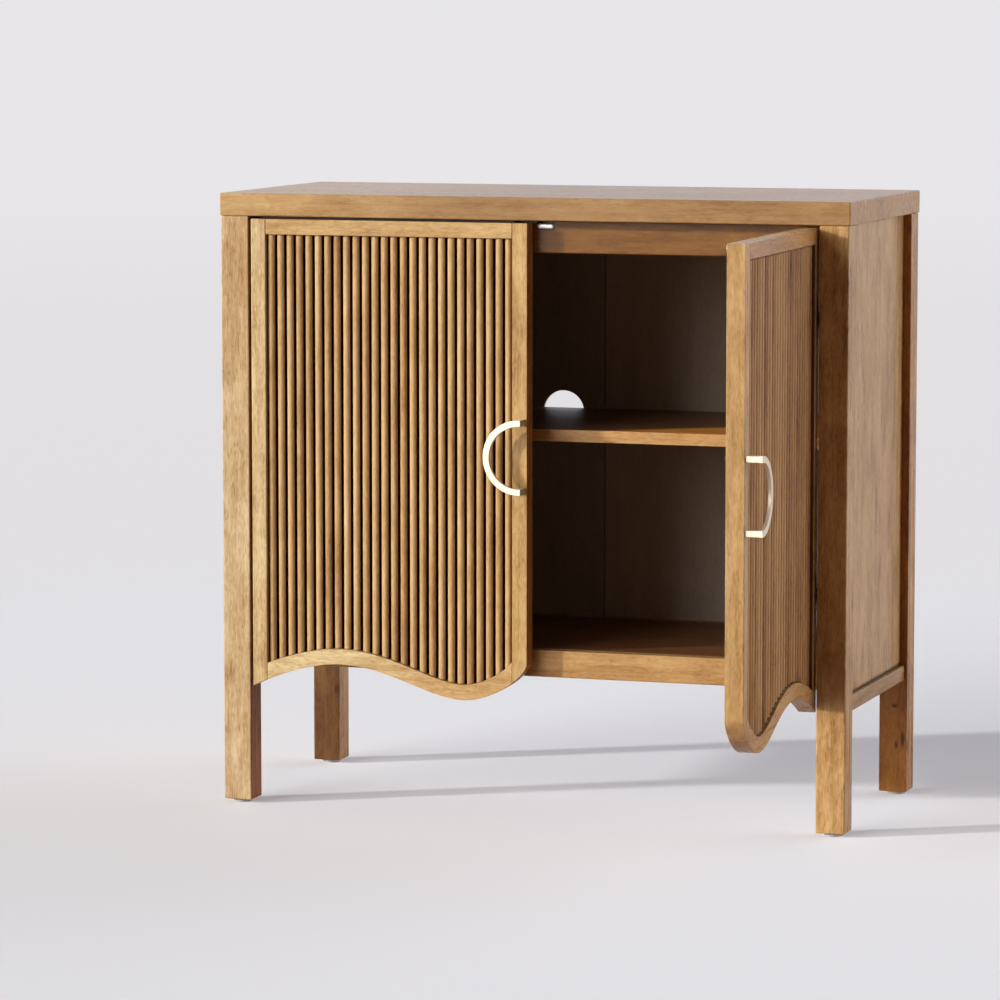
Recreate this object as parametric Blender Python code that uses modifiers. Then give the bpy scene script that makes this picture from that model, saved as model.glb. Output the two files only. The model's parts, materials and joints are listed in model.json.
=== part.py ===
"""A free-standing sideboard in stained wood: four square legs under a slab top, panelled sides, one shelf,
and a pair of reeded doors whose lower rails run in a wave. The left door is shut and the right door is open.
Metres, +Z up, front towards -Y. The origin is on the floor, under the middle of the whole object."""

import math

import bmesh
import bpy
from mathutils import Matrix, Vector
from mathutils.geometry import interpolate_bezier

# Overall sizes
TOP_WIDTH = 0.800
DEPTH = 0.350
HEIGHT = 0.760
TOP_THICKNESS = 0.028
TOP_OVERHANG = 0.0015  # past the outer side of each leg

# Fits
SEAT_GAP = 0.0003  # between pieces that touch
CUT_PAST = 0.003  # how far a cutter runs past the face it opens
HOUSING = 0.006  # how deep rails and side panels are let into the legs
EDGE_ROUND = 0.0015  # eased edges of the carcass
DOOR_EDGE_ROUND = 0.0010  # eased edges of the door frames
EASE_SEGMENTS = 2
TURN_STEPS = 16
ROUND_STEPS = 20
MERGE_WITHIN = 0.00001
SHARP_ANGLE = math.radians(30)

# Legs and glides
LEG = 0.036
GLIDE_HEIGHT = 0.004
GLIDE_DIAMETER = 0.024
GLIDE_ROUND = 0.001
SPIGOT_DIAMETER = 0.006
SPIGOT_LENGTH = 0.014

# Sides
PANEL_RECESS = 0.010  # behind the outer side of the legs
PANEL_THICKNESS = 0.018
SIDE_RAIL_BOTTOM = 0.1465
SIDE_RAIL_HEIGHT = 0.019
SIDE_RAIL_RECESS = 0.004
SIDE_RAIL_THICKNESS = 0.024

# Rails behind the doors and at the back
RAIL_THICKNESS = 0.018
TOP_RAIL_HEIGHT = 0.040
LOWER_RAIL_HEIGHT = 0.033
RAIL_SETBACK = 0.0025  # behind the back of a shut door

# Floor of the cabinet, shelf and back
FLOOR_TOP = 0.2065
FLOOR_THICKNESS = 0.015
CLEAT = 0.016
SHELF_SHARE = 0.512  # of the height inside, from the floor to the top of the shelf
SHELF_THICKNESS = 0.015
SHELF_FRONT = 0.050
SHELF_BACK_GAP = 0.006
SHELF_END_GAP = 0.002
PIN_FROM_SHELF_FRONT = 0.035
PIN_FROM_SHELF_BACK = 0.058
SHELF_PIN_DIAMETER = 0.005
SHELF_PIN_INSERT = 0.009
SHELF_PIN_REACH = 0.012
COLLAR_DIAMETER = 0.008
COLLAR_THICKNESS = 0.0012
BACK_THICKNESS = 0.005
BACK_INSET = 0.001  # from the back of the legs
REBATE_WIDTH = 0.008  # of the rear legs, for the back panels
BACK_SEAM = -0.009  # X of the seam between the back panels
CORD_HOLE_DIAMETER = 0.055
CORD_HOLE_X = -0.0647
CORD_HOLE_DROP = 0.0061  # its middle below the top of the shelf
CORD_HOLE_STEPS = 40

# Doors
DOOR_GAP = 0.0033  # to the legs and the top
MEETING_GAP = 0.0022  # between the doors
DOOR_THICKNESS = 0.022
STILE = 0.019  # width of the stiles and rails
RIGHT_DOOR_OPEN = math.radians(91.5)
LEFT_DOOR_OPEN = 0.0

# The wave at the foot of each door, as distances from the hinge edge and heights above the floor
WAVE_HINGE_Z = 0.1483
WAVE_HINGE_SLOPE = 0.52
WAVE_HINGE_PULL = 0.033
WAVE_CREST_AT = 0.115
WAVE_CREST_Z = 0.1803
WAVE_CREST_PULL_IN = 0.035
WAVE_CREST_PULL_OUT = 0.066
WAVE_TROUGH_AT = 0.277
WAVE_TROUGH_Z = 0.1437
WAVE_TROUGH_PULL_IN = 0.049
WAVE_TROUGH_PULL_OUT = 0.036
WAVE_FREE_Z = 0.193
WAVE_FREE_PULL = 0.017
WAVE_STEPS = 11  # points on each stretch

# Reeded panels
REED_COUNT = 26
REED_WIDTH = 0.0100
REED_RECESS = 0.003  # crests behind the face of the frame
REED_DEPTH = 0.008  # crest to backing
REED_STEPS = 8  # facets round one reed
BACKING_THICKNESS = 0.006
TONGUE = 0.006  # of the backing, in the frame's grooves

# Handles
HANDLE_SHARE = 0.5164  # of the door's height, from the trough of the wave to the middle of the handle
HANDLE_RADIUS = 0.046
HANDLE_STRAIGHT = 0.002
HANDLE_BAR = 0.008
HANDLE_THICKNESS = 0.0045
HANDLE_STANDOFF = 0.021
HANDLE_EDGE_GAP = 0.0018  # its cut ends to the free edge of the door
HANDLE_EASE = 0.0006
HANDLE_STEPS = 24
POST = 0.007
POST_INSET = 0.0005
SCREW_DIAMETER = 0.004
SCREW_HEAD_DIAMETER = 0.008
SCREW_HEAD_HEIGHT = 0.0024
SCREW_CROWN_DIAMETER = 0.0048
SCREW_CROWN_DROP = 0.0004
SCREW_RIM_HEIGHT = 0.0008
SCREW_GRIP = 0.009  # length inside the post

# Concealed hinges
PIN_IN = 0.0065  # hinge axis to the door's hinge edge
PIN_BACK = 0.0065  # hinge axis to the door's face
HINGE_FROM_TOP = 0.1087  # upper hinge below the top of the door
HINGE_ABOVE_FLOOR = 0.0835  # lower hinge above the floor of the cabinet
HINGE_PIN_DIAMETER = 0.003
HINGE_PIN_GRIP = 0.008  # length in the stile at each end
HINGE_PIN_CLEARANCE = 0.0002
EYE_DIAMETER = 0.007
ARM_THICKNESS = 0.004
ARM_HEIGHT = 0.018
ARM_CLEARANCE = 0.001  # to the pocket, above and below
POCKET_INNER = 0.004  # pocket past the axis, away from the hinge edge
POCKET_FRONT = 0.0044  # pocket past the axis, towards the face
ARM_SETBACK = 0.0015  # behind the back of a shut door
PLATE_THICKNESS = 0.0025
PLATE_DEPTH = 0.012
PLATE_HEIGHT = 0.044

# Catches
CATCH_AT = 0.0143  # middle of the catch from the middle of the cabinet
CATCH_WIDTH = 0.022
CATCH_DEPTH = 0.014
CATCH_DROP = 0.0112  # its underside below the top panel
CATCH_HEIGHT = 0.0085
CATCH_GAP = 0.0004
STRIKE_WIDTH = 0.022
STRIKE_HEIGHT = 0.010
STRIKE_THICKNESS = 0.0012
STRIKE_BELOW_TOP = 0.001
STRIKE_EASE = 0.00025
SMALL_EASE = 0.0005

# Finishes: colour, roughness, metallic
WOOD = ((0.47, 0.28, 0.11), 0.45, 0.0)
INNER_WOOD = ((0.30, 0.17, 0.08), 0.50, 0.0)
CHAMPAGNE = ((0.80, 0.72, 0.55), 0.28, 1.0)
STEEL = ((0.62, 0.61, 0.60), 0.35, 1.0)
WHITE_PLASTIC = ((0.85, 0.85, 0.83), 0.40, 0.0)
GREY_PLASTIC = ((0.16, 0.16, 0.17), 0.55, 0.0)

SIDES = {"left": -1, "right": 1}

# Places worked out from the sizes, in the space of the cabinet: Y = 0 at the front of the legs
LEG_OUTER = TOP_WIDTH / 2 - TOP_OVERHANG
LEG_INNER = LEG_OUTER - LEG
LEG_BOTTOM = GLIDE_HEIGHT + SEAT_GAP
UNDER_TOP = HEIGHT - TOP_THICKNESS
CARCASS_TOP = UNDER_TOP - SEAT_GAP
REAR_LEG_FRONT = DEPTH - LEG
PANEL_OUTER = LEG_OUTER - PANEL_RECESS
PANEL_INNER = PANEL_OUTER - PANEL_THICKNESS
RAIL_FRONT = DOOR_THICKNESS + RAIL_SETBACK
RAIL_BACK = RAIL_FRONT + RAIL_THICKNESS
BACK_PANEL_BACK = DEPTH - BACK_INSET
BACK_PANEL_FRONT = BACK_PANEL_BACK - BACK_THICKNESS
REAR_RAIL_BACK = BACK_PANEL_FRONT - SEAT_GAP
REAR_RAIL_FRONT = REAR_RAIL_BACK - RAIL_THICKNESS
SHELF_TOP = FLOOR_TOP + SHELF_SHARE * (UNDER_TOP - FLOOR_TOP)
SHELF_BACK = BACK_PANEL_FRONT - SHELF_BACK_GAP
CORD_HOLE_Z = SHELF_TOP - CORD_HOLE_DROP
LOWER_RAIL_BOTTOM = FLOOR_TOP - LOWER_RAIL_HEIGHT
TOP_RAIL_BOTTOM = UNDER_TOP - TOP_RAIL_HEIGHT
CATCH_BOTTOM = UNDER_TOP - CATCH_DROP
HINGE_EDGE = LEG_INNER - DOOR_GAP
DOOR_WIDTH = HINGE_EDGE - MEETING_GAP / 2
DOOR_TOP = UNDER_TOP - DOOR_GAP
HANDLE_Z = WAVE_TROUGH_Z + HANDLE_SHARE * (DOOR_TOP - WAVE_TROUGH_Z)
HINGE_HEIGHTS = {"upper": DOOR_TOP - HINGE_FROM_TOP, "lower": FLOOR_TOP + HINGE_ABOVE_FLOOR}
PIN_X = HINGE_EDGE - PIN_IN
BACKING_FRONT = REED_RECESS + REED_DEPTH
BACKING_BACK = BACKING_FRONT + BACKING_THICKNESS

# How far the open door stands in front of the legs, which sets where the middle of the object is
OPEN_REACH = (
    (DOOR_WIDTH - PIN_IN) * math.sin(RIGHT_DOOR_OPEN)
    - (DOOR_THICKNESS - PIN_BACK) * math.cos(RIGHT_DOOR_OPEN)
    - PIN_BACK
)
FRONT_Y = (OPEN_REACH - DEPTH) / 2


def clear_scene():
    for obj in list(bpy.data.objects):
        bpy.data.objects.remove(obj)
    for group in list(bpy.data.collections):
        bpy.data.collections.remove(group)


def new_collection(name):
    group = bpy.data.collections.new(name)
    bpy.context.scene.collection.children.link(group)
    return group


clear_scene()
PARTS = new_collection("sideboard")
CUTTERS = new_collection("cutters")


def new_empty(name, location, parent=None, turn=0.0):
    empty = bpy.data.objects.new(name, None)
    PARTS.objects.link(empty)
    empty.parent = parent
    empty.location = location
    empty.rotation_euler.z = turn
    return empty


def material(name, finish):
    colour, roughness, metallic = finish
    made = bpy.data.materials.new(name)
    made.use_nodes = True
    shader = made.node_tree.nodes["Principled BSDF"]
    shader.inputs["Base Color"].default_value = (*colour, 1.0)
    shader.inputs["Roughness"].default_value = roughness
    shader.inputs["Metallic"].default_value = metallic
    return made


def add_part(name, mesh, parent, finish):
    part = bpy.data.objects.new(name, mesh)
    PARTS.objects.link(part)
    part.parent = parent
    mesh.materials.append(material(name, finish))
    return part


def add_cutter(name, mesh, parent):
    cutter = bpy.data.objects.new(name, mesh)
    CUTTERS.objects.link(cutter)
    cutter.parent = parent
    cutter.hide_render = True
    cutter.display_type = "WIRE"
    return cutter


def box_mesh(name, size):
    shape = bmesh.new()
    bmesh.ops.create_cube(shape, size=1.0)
    bmesh.ops.scale(shape, vec=size, verts=shape.verts)
    mesh = bpy.data.meshes.new(name)
    shape.to_mesh(mesh)
    shape.free()
    return mesh


def rod_mesh(name, radius, length, axis, steps=ROUND_STEPS):
    """A round bar centred on its origin, along X, Y or Z."""
    shape = bmesh.new()
    bmesh.ops.create_cone(shape, cap_ends=True, segments=steps, radius1=radius, radius2=radius, depth=length)
    turn = {"X": Matrix.Rotation(math.pi / 2, 4, "Y"), "Y": Matrix.Rotation(math.pi / 2, 4, "X")}
    bmesh.ops.transform(shape, matrix=turn.get(axis, Matrix()), verts=shape.verts)
    mesh = bpy.data.meshes.new(name)
    shape.to_mesh(mesh)
    shape.free()
    return mesh


def outline_mesh(name, outline, thickness, standing):
    """A flat outline given thickness: lying in X and Y, or standing in X and Z."""
    curve = bpy.data.curves.new(name, "CURVE")
    curve.dimensions = "2D"
    curve.fill_mode = "BOTH"
    curve.extrude = thickness / 2
    spline = curve.splines.new("POLY")
    spline.points.add(len(outline) - 1)
    for point, (across, along) in zip(spline.points, outline):
        point.co = (across, along, 0.0, 1.0)
    spline.use_cyclic_u = True
    guide = bpy.data.objects.new(name, curve)
    CUTTERS.objects.link(guide)
    graph = bpy.context.evaluated_depsgraph_get()
    mesh = bpy.data.meshes.new_from_object(guide.evaluated_get(graph))
    bpy.data.objects.remove(guide)
    shape = bmesh.new()
    shape.from_mesh(mesh)
    bmesh.ops.remove_doubles(shape, verts=shape.verts, dist=MERGE_WITHIN)
    bmesh.ops.recalc_face_normals(shape, faces=shape.faces)
    if standing:
        bmesh.ops.transform(shape, matrix=Matrix.Rotation(math.pi / 2, 4, "X"), verts=shape.verts)
    shape.to_mesh(mesh)
    shape.free()
    return mesh


def ease(part, width, segments=EASE_SEGMENTS):
    bevel = part.modifiers.new("eased edges", "BEVEL")
    bevel.width = width
    bevel.segments = segments
    bevel.limit_method = "ANGLE"


def combine(part, other, operation):
    boolean = part.modifiers.new(other.name, "BOOLEAN")
    boolean.operation = operation
    boolean.object = other


def between(low, high):
    """The two corners of a box, sorted axis by axis, as vectors."""
    return Vector(map(min, low, high)), Vector(map(max, low, high))


def board(name, corners, parent, finish, round_by=EDGE_ROUND):
    low, high = between(*corners)
    part = add_part(name, box_mesh(name, high - low), parent, finish)
    part.location = (low + high) / 2
    ease(part, round_by)
    return part


def box_cutter(name, corners, parent):
    low, high = between(*corners)
    cutter = add_cutter(name, box_mesh(name, high - low), parent)
    cutter.location = (low + high) / 2
    return cutter


def rod_cutter(name, radius, length, axis, middle, parent, steps=ROUND_STEPS):
    cutter = add_cutter(name, rod_mesh(name, radius, length, axis, steps), parent)
    cutter.location = middle
    return cutter


def house(part, name, corners, parent):
    """Lets a piece with these corners into the part, with the seating gap all round."""
    low, high = between(*corners)
    gap = Vector((SEAT_GAP, SEAT_GAP, SEAT_GAP))
    combine(part, box_cutter(f"{part.name} housing for {name}", (low - gap, high + gap), parent), "DIFFERENCE")


def turned(name, profile, parent, finish):
    """A profile of radius and height, listed from the top down its outer side, turned about Z."""
    mesh = bpy.data.meshes.new(name)
    points = [(radius, 0.0, height) for radius, height in profile]
    mesh.from_pydata(points, [(i, i + 1) for i in range(len(points) - 1)], [])
    part = add_part(name, mesh, parent, finish)
    screw = part.modifiers.new("turned", "SCREW")
    screw.steps = TURN_STEPS
    screw.render_steps = TURN_STEPS
    screw.use_merge_vertices = True
    screw.merge_threshold = MERGE_WITHIN
    return part


def rear_notched(half_width, front, back):
    """A board's outline that clears the rear legs at its back corners."""
    inner = LEG_INNER - SHELF_END_GAP
    step = REAR_LEG_FRONT - SHELF_END_GAP
    right = [(half_width, front), (half_width, step), (inner, step), (inner, back)]
    return right + [(-x, y) for x, y in reversed(right)]


def build_carcass(cabinet):
    board("top_panel", ((-TOP_WIDTH / 2, 0, UNDER_TOP), (TOP_WIDTH / 2, DEPTH, HEIGHT)), cabinet, WOOD)
    for name, side in SIDES.items():
        build_side(name, side, cabinet)
    build_cross_rails(cabinet)
    build_floor_and_shelf(cabinet)
    build_back(cabinet)


def build_side(name, side, cabinet):
    """Two legs with their glides, the panel and the rail between them, and the cleat for the floor."""
    ends = (LEG - HOUSING, REAR_LEG_FRONT + HOUSING)
    rail_outer = LEG_OUTER - SIDE_RAIL_RECESS
    rail_top = SIDE_RAIL_BOTTOM + SIDE_RAIL_HEIGHT
    panel = (
        (side * PANEL_INNER, ends[0], rail_top + SEAT_GAP),
        (side * PANEL_OUTER, ends[1], CARCASS_TOP),
    )
    rail = (
        (side * (rail_outer - SIDE_RAIL_THICKNESS), ends[0], SIDE_RAIL_BOTTOM),
        (side * rail_outer, ends[1], rail_top),
    )
    for place, front in (("front", 0.0), ("rear", REAR_LEG_FRONT)):
        corners = ((side * LEG_INNER, front, LEG_BOTTOM), (side * LEG_OUTER, front + LEG, CARCASS_TOP))
        leg = board(f"leg_{place}_{name}", corners, cabinet, WOOD)
        house(leg, "side panel", panel, cabinet)
        house(leg, "side rail", rail, cabinet)
        build_glide(f"glide_{place}_{name}", leg, cabinet)
    side_panel = board(f"side_panel_{name}", panel, cabinet, WOOD)
    board(f"side_rail_{name}", rail, cabinet, WOOD)
    cleat_outer = PANEL_INNER - SEAT_GAP
    cleat_top = FLOOR_TOP - FLOOR_THICKNESS - SEAT_GAP
    cleat = (
        (side * (cleat_outer - CLEAT), RAIL_BACK + SEAT_GAP, cleat_top - CLEAT),
        (side * cleat_outer, REAR_LEG_FRONT - SEAT_GAP, cleat_top),
    )
    board(f"bottom_cleat_{name}", cleat, cabinet, INNER_WOOD)
    for place, y in (("front", SHELF_FRONT + PIN_FROM_SHELF_FRONT), ("rear", SHELF_BACK - PIN_FROM_SHELF_BACK)):
        build_shelf_pin(f"shelf_pin_{place}_{name}", side, y, side_panel, cabinet)


def build_glide(name, leg, cabinet):
    """A nailed-on foot: a disc with a spigot in the end of the leg."""
    disc, spigot = GLIDE_DIAMETER / 2, SPIGOT_DIAMETER / 2
    profile = [
        (0.0, GLIDE_HEIGHT + SPIGOT_LENGTH),
        (spigot, GLIDE_HEIGHT + SPIGOT_LENGTH),
        (spigot, GLIDE_HEIGHT),
        (disc - GLIDE_ROUND, GLIDE_HEIGHT),
        (disc, GLIDE_HEIGHT - GLIDE_ROUND),
        (disc, GLIDE_ROUND),
        (disc - GLIDE_ROUND, 0.0),
        (0.0, 0.0),
    ]
    glide = turned(name, profile, cabinet, GREY_PLASTIC)
    glide.location = (leg.location.x, leg.location.y, 0.0)
    bore_top = GLIDE_HEIGHT + SPIGOT_LENGTH + SEAT_GAP
    bore_bottom = LEG_BOTTOM - CUT_PAST
    middle = (leg.location.x, leg.location.y, (bore_top + bore_bottom) / 2)
    length = bore_top - bore_bottom
    bore = rod_cutter(f"{leg.name} bore", spigot + SEAT_GAP, length, "Z", middle, cabinet)
    combine(leg, bore, "DIFFERENCE")


def build_shelf_pin(name, side, y, side_panel, cabinet):
    """A turned pin, its shank in the side panel and its reach under the shelf."""
    shank, collar = SHELF_PIN_DIAMETER / 2, COLLAR_DIAMETER / 2
    profile = [
        (0.0, SHELF_PIN_INSERT),
        (shank, SHELF_PIN_INSERT),
        (shank, -SEAT_GAP),
        (collar, -SEAT_GAP),
        (collar, -SEAT_GAP - COLLAR_THICKNESS),
        (shank, -SEAT_GAP - COLLAR_THICKNESS),
        (shank, -SHELF_PIN_REACH),
        (0.0, -SHELF_PIN_REACH),
    ]
    axis_z = SHELF_TOP - SHELF_THICKNESS - SEAT_GAP - shank
    pin = turned(name, profile, cabinet, STEEL)
    pin.location = (side * PANEL_INNER, y, axis_z)
    pin.rotation_euler.y = side * math.pi / 2
    length = 2 * (SHELF_PIN_INSERT + SEAT_GAP)
    hole = rod_cutter(f"{name} hole", shank + SEAT_GAP, length, "X", pin.location, cabinet)
    combine(side_panel, hole, "DIFFERENCE")


def build_cross_rails(cabinet):
    """The front and rear rails between the legs, with the catches in the front one."""
    end = LEG_INNER + HOUSING
    rails = {
        "front_top_rail": ("front", RAIL_FRONT, RAIL_BACK, TOP_RAIL_BOTTOM, CARCASS_TOP),
        "front_lower_rail": ("front", RAIL_FRONT, RAIL_BACK, LOWER_RAIL_BOTTOM, FLOOR_TOP),
        "rear_top_rail": ("rear", REAR_RAIL_FRONT, REAR_RAIL_BACK, TOP_RAIL_BOTTOM, CARCASS_TOP),
        "rear_lower_rail": ("rear", REAR_RAIL_FRONT, REAR_RAIL_BACK, LOWER_RAIL_BOTTOM, FLOOR_TOP),
    }
    for name, (place, front, back, bottom, top) in rails.items():
        corners = ((-end, front, bottom), (end, back, top))
        board(name, corners, cabinet, WOOD if place == "front" else INNER_WOOD)
        for side in SIDES:
            house(bpy.data.objects[f"leg_{place}_{side}"], name, corners, cabinet)
    for name, side in SIDES.items():
        build_catch(name, side, cabinet)


def build_catch(name, side, cabinet):
    """A magnetic catch let into the top of the front rail, its face just behind the strike plate."""
    front = DOOR_THICKNESS + SEAT_GAP + STRIKE_THICKNESS + CATCH_GAP
    corners = (
        (side * CATCH_AT - CATCH_WIDTH / 2, front, CATCH_BOTTOM),
        (side * CATCH_AT + CATCH_WIDTH / 2, front + CATCH_DEPTH, CATCH_BOTTOM + CATCH_HEIGHT),
    )
    board(f"catch_{name}", corners, cabinet, WHITE_PLASTIC, SMALL_EASE)
    rail = bpy.data.objects["front_top_rail"]
    low, high = between(*corners)
    notch = (
        (low.x - SEAT_GAP, RAIL_FRONT - CUT_PAST, low.z - SEAT_GAP),
        (high.x + SEAT_GAP, high.y + SEAT_GAP, CARCASS_TOP + CUT_PAST),
    )
    combine(rail, box_cutter(f"catch_{name} notch", notch, cabinet), "DIFFERENCE")


def build_floor_and_shelf(cabinet):
    boards = {
        "bottom_panel": (
            rear_notched(PANEL_INNER - SEAT_GAP, RAIL_BACK + SEAT_GAP, REAR_RAIL_FRONT - SEAT_GAP),
            FLOOR_THICKNESS,
            FLOOR_TOP,
        ),
        "shelf": (
            rear_notched(PANEL_INNER - SHELF_END_GAP, SHELF_FRONT, SHELF_BACK),
            SHELF_THICKNESS,
            SHELF_TOP,
        ),
    }
    for name, (outline, thickness, top) in boards.items():
        part = add_part(name, outline_mesh(name, outline, thickness, False), cabinet, INNER_WOOD)
        part.location.z = top - thickness / 2
        ease(part, DOOR_EDGE_ROUND)


def build_back(cabinet):
    """Two thin panels in the rebates of the rear legs, over the rear rails. The left one has the cord hole."""
    edge = LEG_INNER + REBATE_WIDTH - SEAT_GAP
    bottom = LOWER_RAIL_BOTTOM
    for name, side in SIDES.items():
        corners = (
            (side * edge, BACK_PANEL_FRONT, bottom),
            (BACK_SEAM + side * SEAT_GAP, BACK_PANEL_BACK, CARCASS_TOP),
        )
        board(f"back_panel_{name}", corners, cabinet, INNER_WOOD, SMALL_EASE)
        rebate = (
            (side * (LEG_INNER - CUT_PAST), BACK_PANEL_FRONT - SEAT_GAP, bottom - SEAT_GAP),
            (side * (edge + SEAT_GAP), DEPTH + CUT_PAST, CARCASS_TOP + CUT_PAST),
        )
        leg = bpy.data.objects[f"leg_rear_{name}"]
        combine(leg, box_cutter(f"{leg.name} rebate", rebate, cabinet), "DIFFERENCE")
    middle = (CORD_HOLE_X, (BACK_PANEL_FRONT + BACK_PANEL_BACK) / 2, CORD_HOLE_Z)
    length = BACK_THICKNESS + 2 * CUT_PAST
    hole = rod_cutter("cord hole", CORD_HOLE_DIAMETER / 2, length, "Y", middle, cabinet, CORD_HOLE_STEPS)
    combine(bpy.data.objects["back_panel_left"], hole, "DIFFERENCE")


def wave_edge():
    """The lower edge of a door from its hinge edge to its free edge, as distance and height."""
    knots = [
        (0.0, WAVE_HINGE_Z),
        (WAVE_HINGE_PULL, WAVE_HINGE_Z + WAVE_HINGE_SLOPE * WAVE_HINGE_PULL),
        (WAVE_CREST_AT - WAVE_CREST_PULL_IN, WAVE_CREST_Z),
        (WAVE_CREST_AT, WAVE_CREST_Z),
        (WAVE_CREST_AT + WAVE_CREST_PULL_OUT, WAVE_CREST_Z),
        (WAVE_TROUGH_AT - WAVE_TROUGH_PULL_IN, WAVE_TROUGH_Z),
        (WAVE_TROUGH_AT, WAVE_TROUGH_Z),
        (WAVE_TROUGH_AT + WAVE_TROUGH_PULL_OUT, WAVE_TROUGH_Z),
        (DOOR_WIDTH, WAVE_FREE_Z - WAVE_FREE_PULL),
        (DOOR_WIDTH, WAVE_FREE_Z),
    ]
    points = []
    for start in range(0, len(knots) - 1, 3):
        stretch = interpolate_bezier(*[Vector(knot) for knot in knots[start : start + 4]], WAVE_STEPS)
        points += stretch if start == 0 else stretch[1:]
    return points


def parallel(points, distance):
    """The same line moved to its left by a distance."""
    moved = []
    for i, point in enumerate(points):
        along = (points[min(i + 1, len(points) - 1)] - points[max(i - 1, 0)]).normalized()
        moved.append(point + distance * Vector((-along.y, along.x)))
    return moved


def height_at(points, place):
    """Height of a line at one distance along the door, level past its ends."""
    if place <= points[0].x:
        return points[0].y
    for a, b in zip(points, points[1:]):
        if a.x <= place <= b.x and b.x > a.x:
            return a.y + (b.y - a.y) * (place - a.x) / (b.x - a.x)
    return points[-1].y


def stretch_of(points, start, end):
    """The part of a line between two distances along the door."""
    inside = [(p.x, p.y) for p in points if start + SEAT_GAP < p.x < end - SEAT_GAP]
    return [(start, height_at(points, start))] + inside + [(end, height_at(points, end))]


def reed_profile():
    """Section of the reeded panel: a backing with tongues, and round-topped reeds along its face."""
    opening = DOOR_WIDTH - 2 * STILE
    pitch = opening / REED_COUNT
    radius = REED_WIDTH / 2
    first = STILE - TONGUE
    last = DOOR_WIDTH - first
    outline = [(first, BACKING_BACK), (first, BACKING_FRONT)]
    for i in range(REED_COUNT):
        middle = STILE + pitch * (i + 0.5)
        outline.append((middle - radius, BACKING_FRONT))
        for step in range(REED_STEPS + 1):
            angle = math.pi * (1 - step / REED_STEPS)
            crest = REED_RECESS + radius - radius * math.sin(angle)
            outline.append((middle + radius * math.cos(angle), crest))
        outline.append((middle + radius, BACKING_FRONT))
    return outline + [(last, BACKING_FRONT), (last, BACKING_BACK)]


def half_ring(end):
    """Outline of a handle: half a flat ring with short straight ends, cut square near the free edge."""
    middle = end - HANDLE_STRAIGHT
    inner = HANDLE_RADIUS - HANDLE_BAR
    turns = [math.pi * (0.5 + i / HANDLE_STEPS) for i in range(HANDLE_STEPS + 1)]

    def arc(radius):
        curve = [(middle + radius * math.cos(t), HANDLE_Z + radius * math.sin(t)) for t in turns]
        return [(end, HANDLE_Z + radius)] + curve + [(end, HANDLE_Z - radius)]

    return arc(HANDLE_RADIUS) + list(reversed(arc(inner)))


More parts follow.
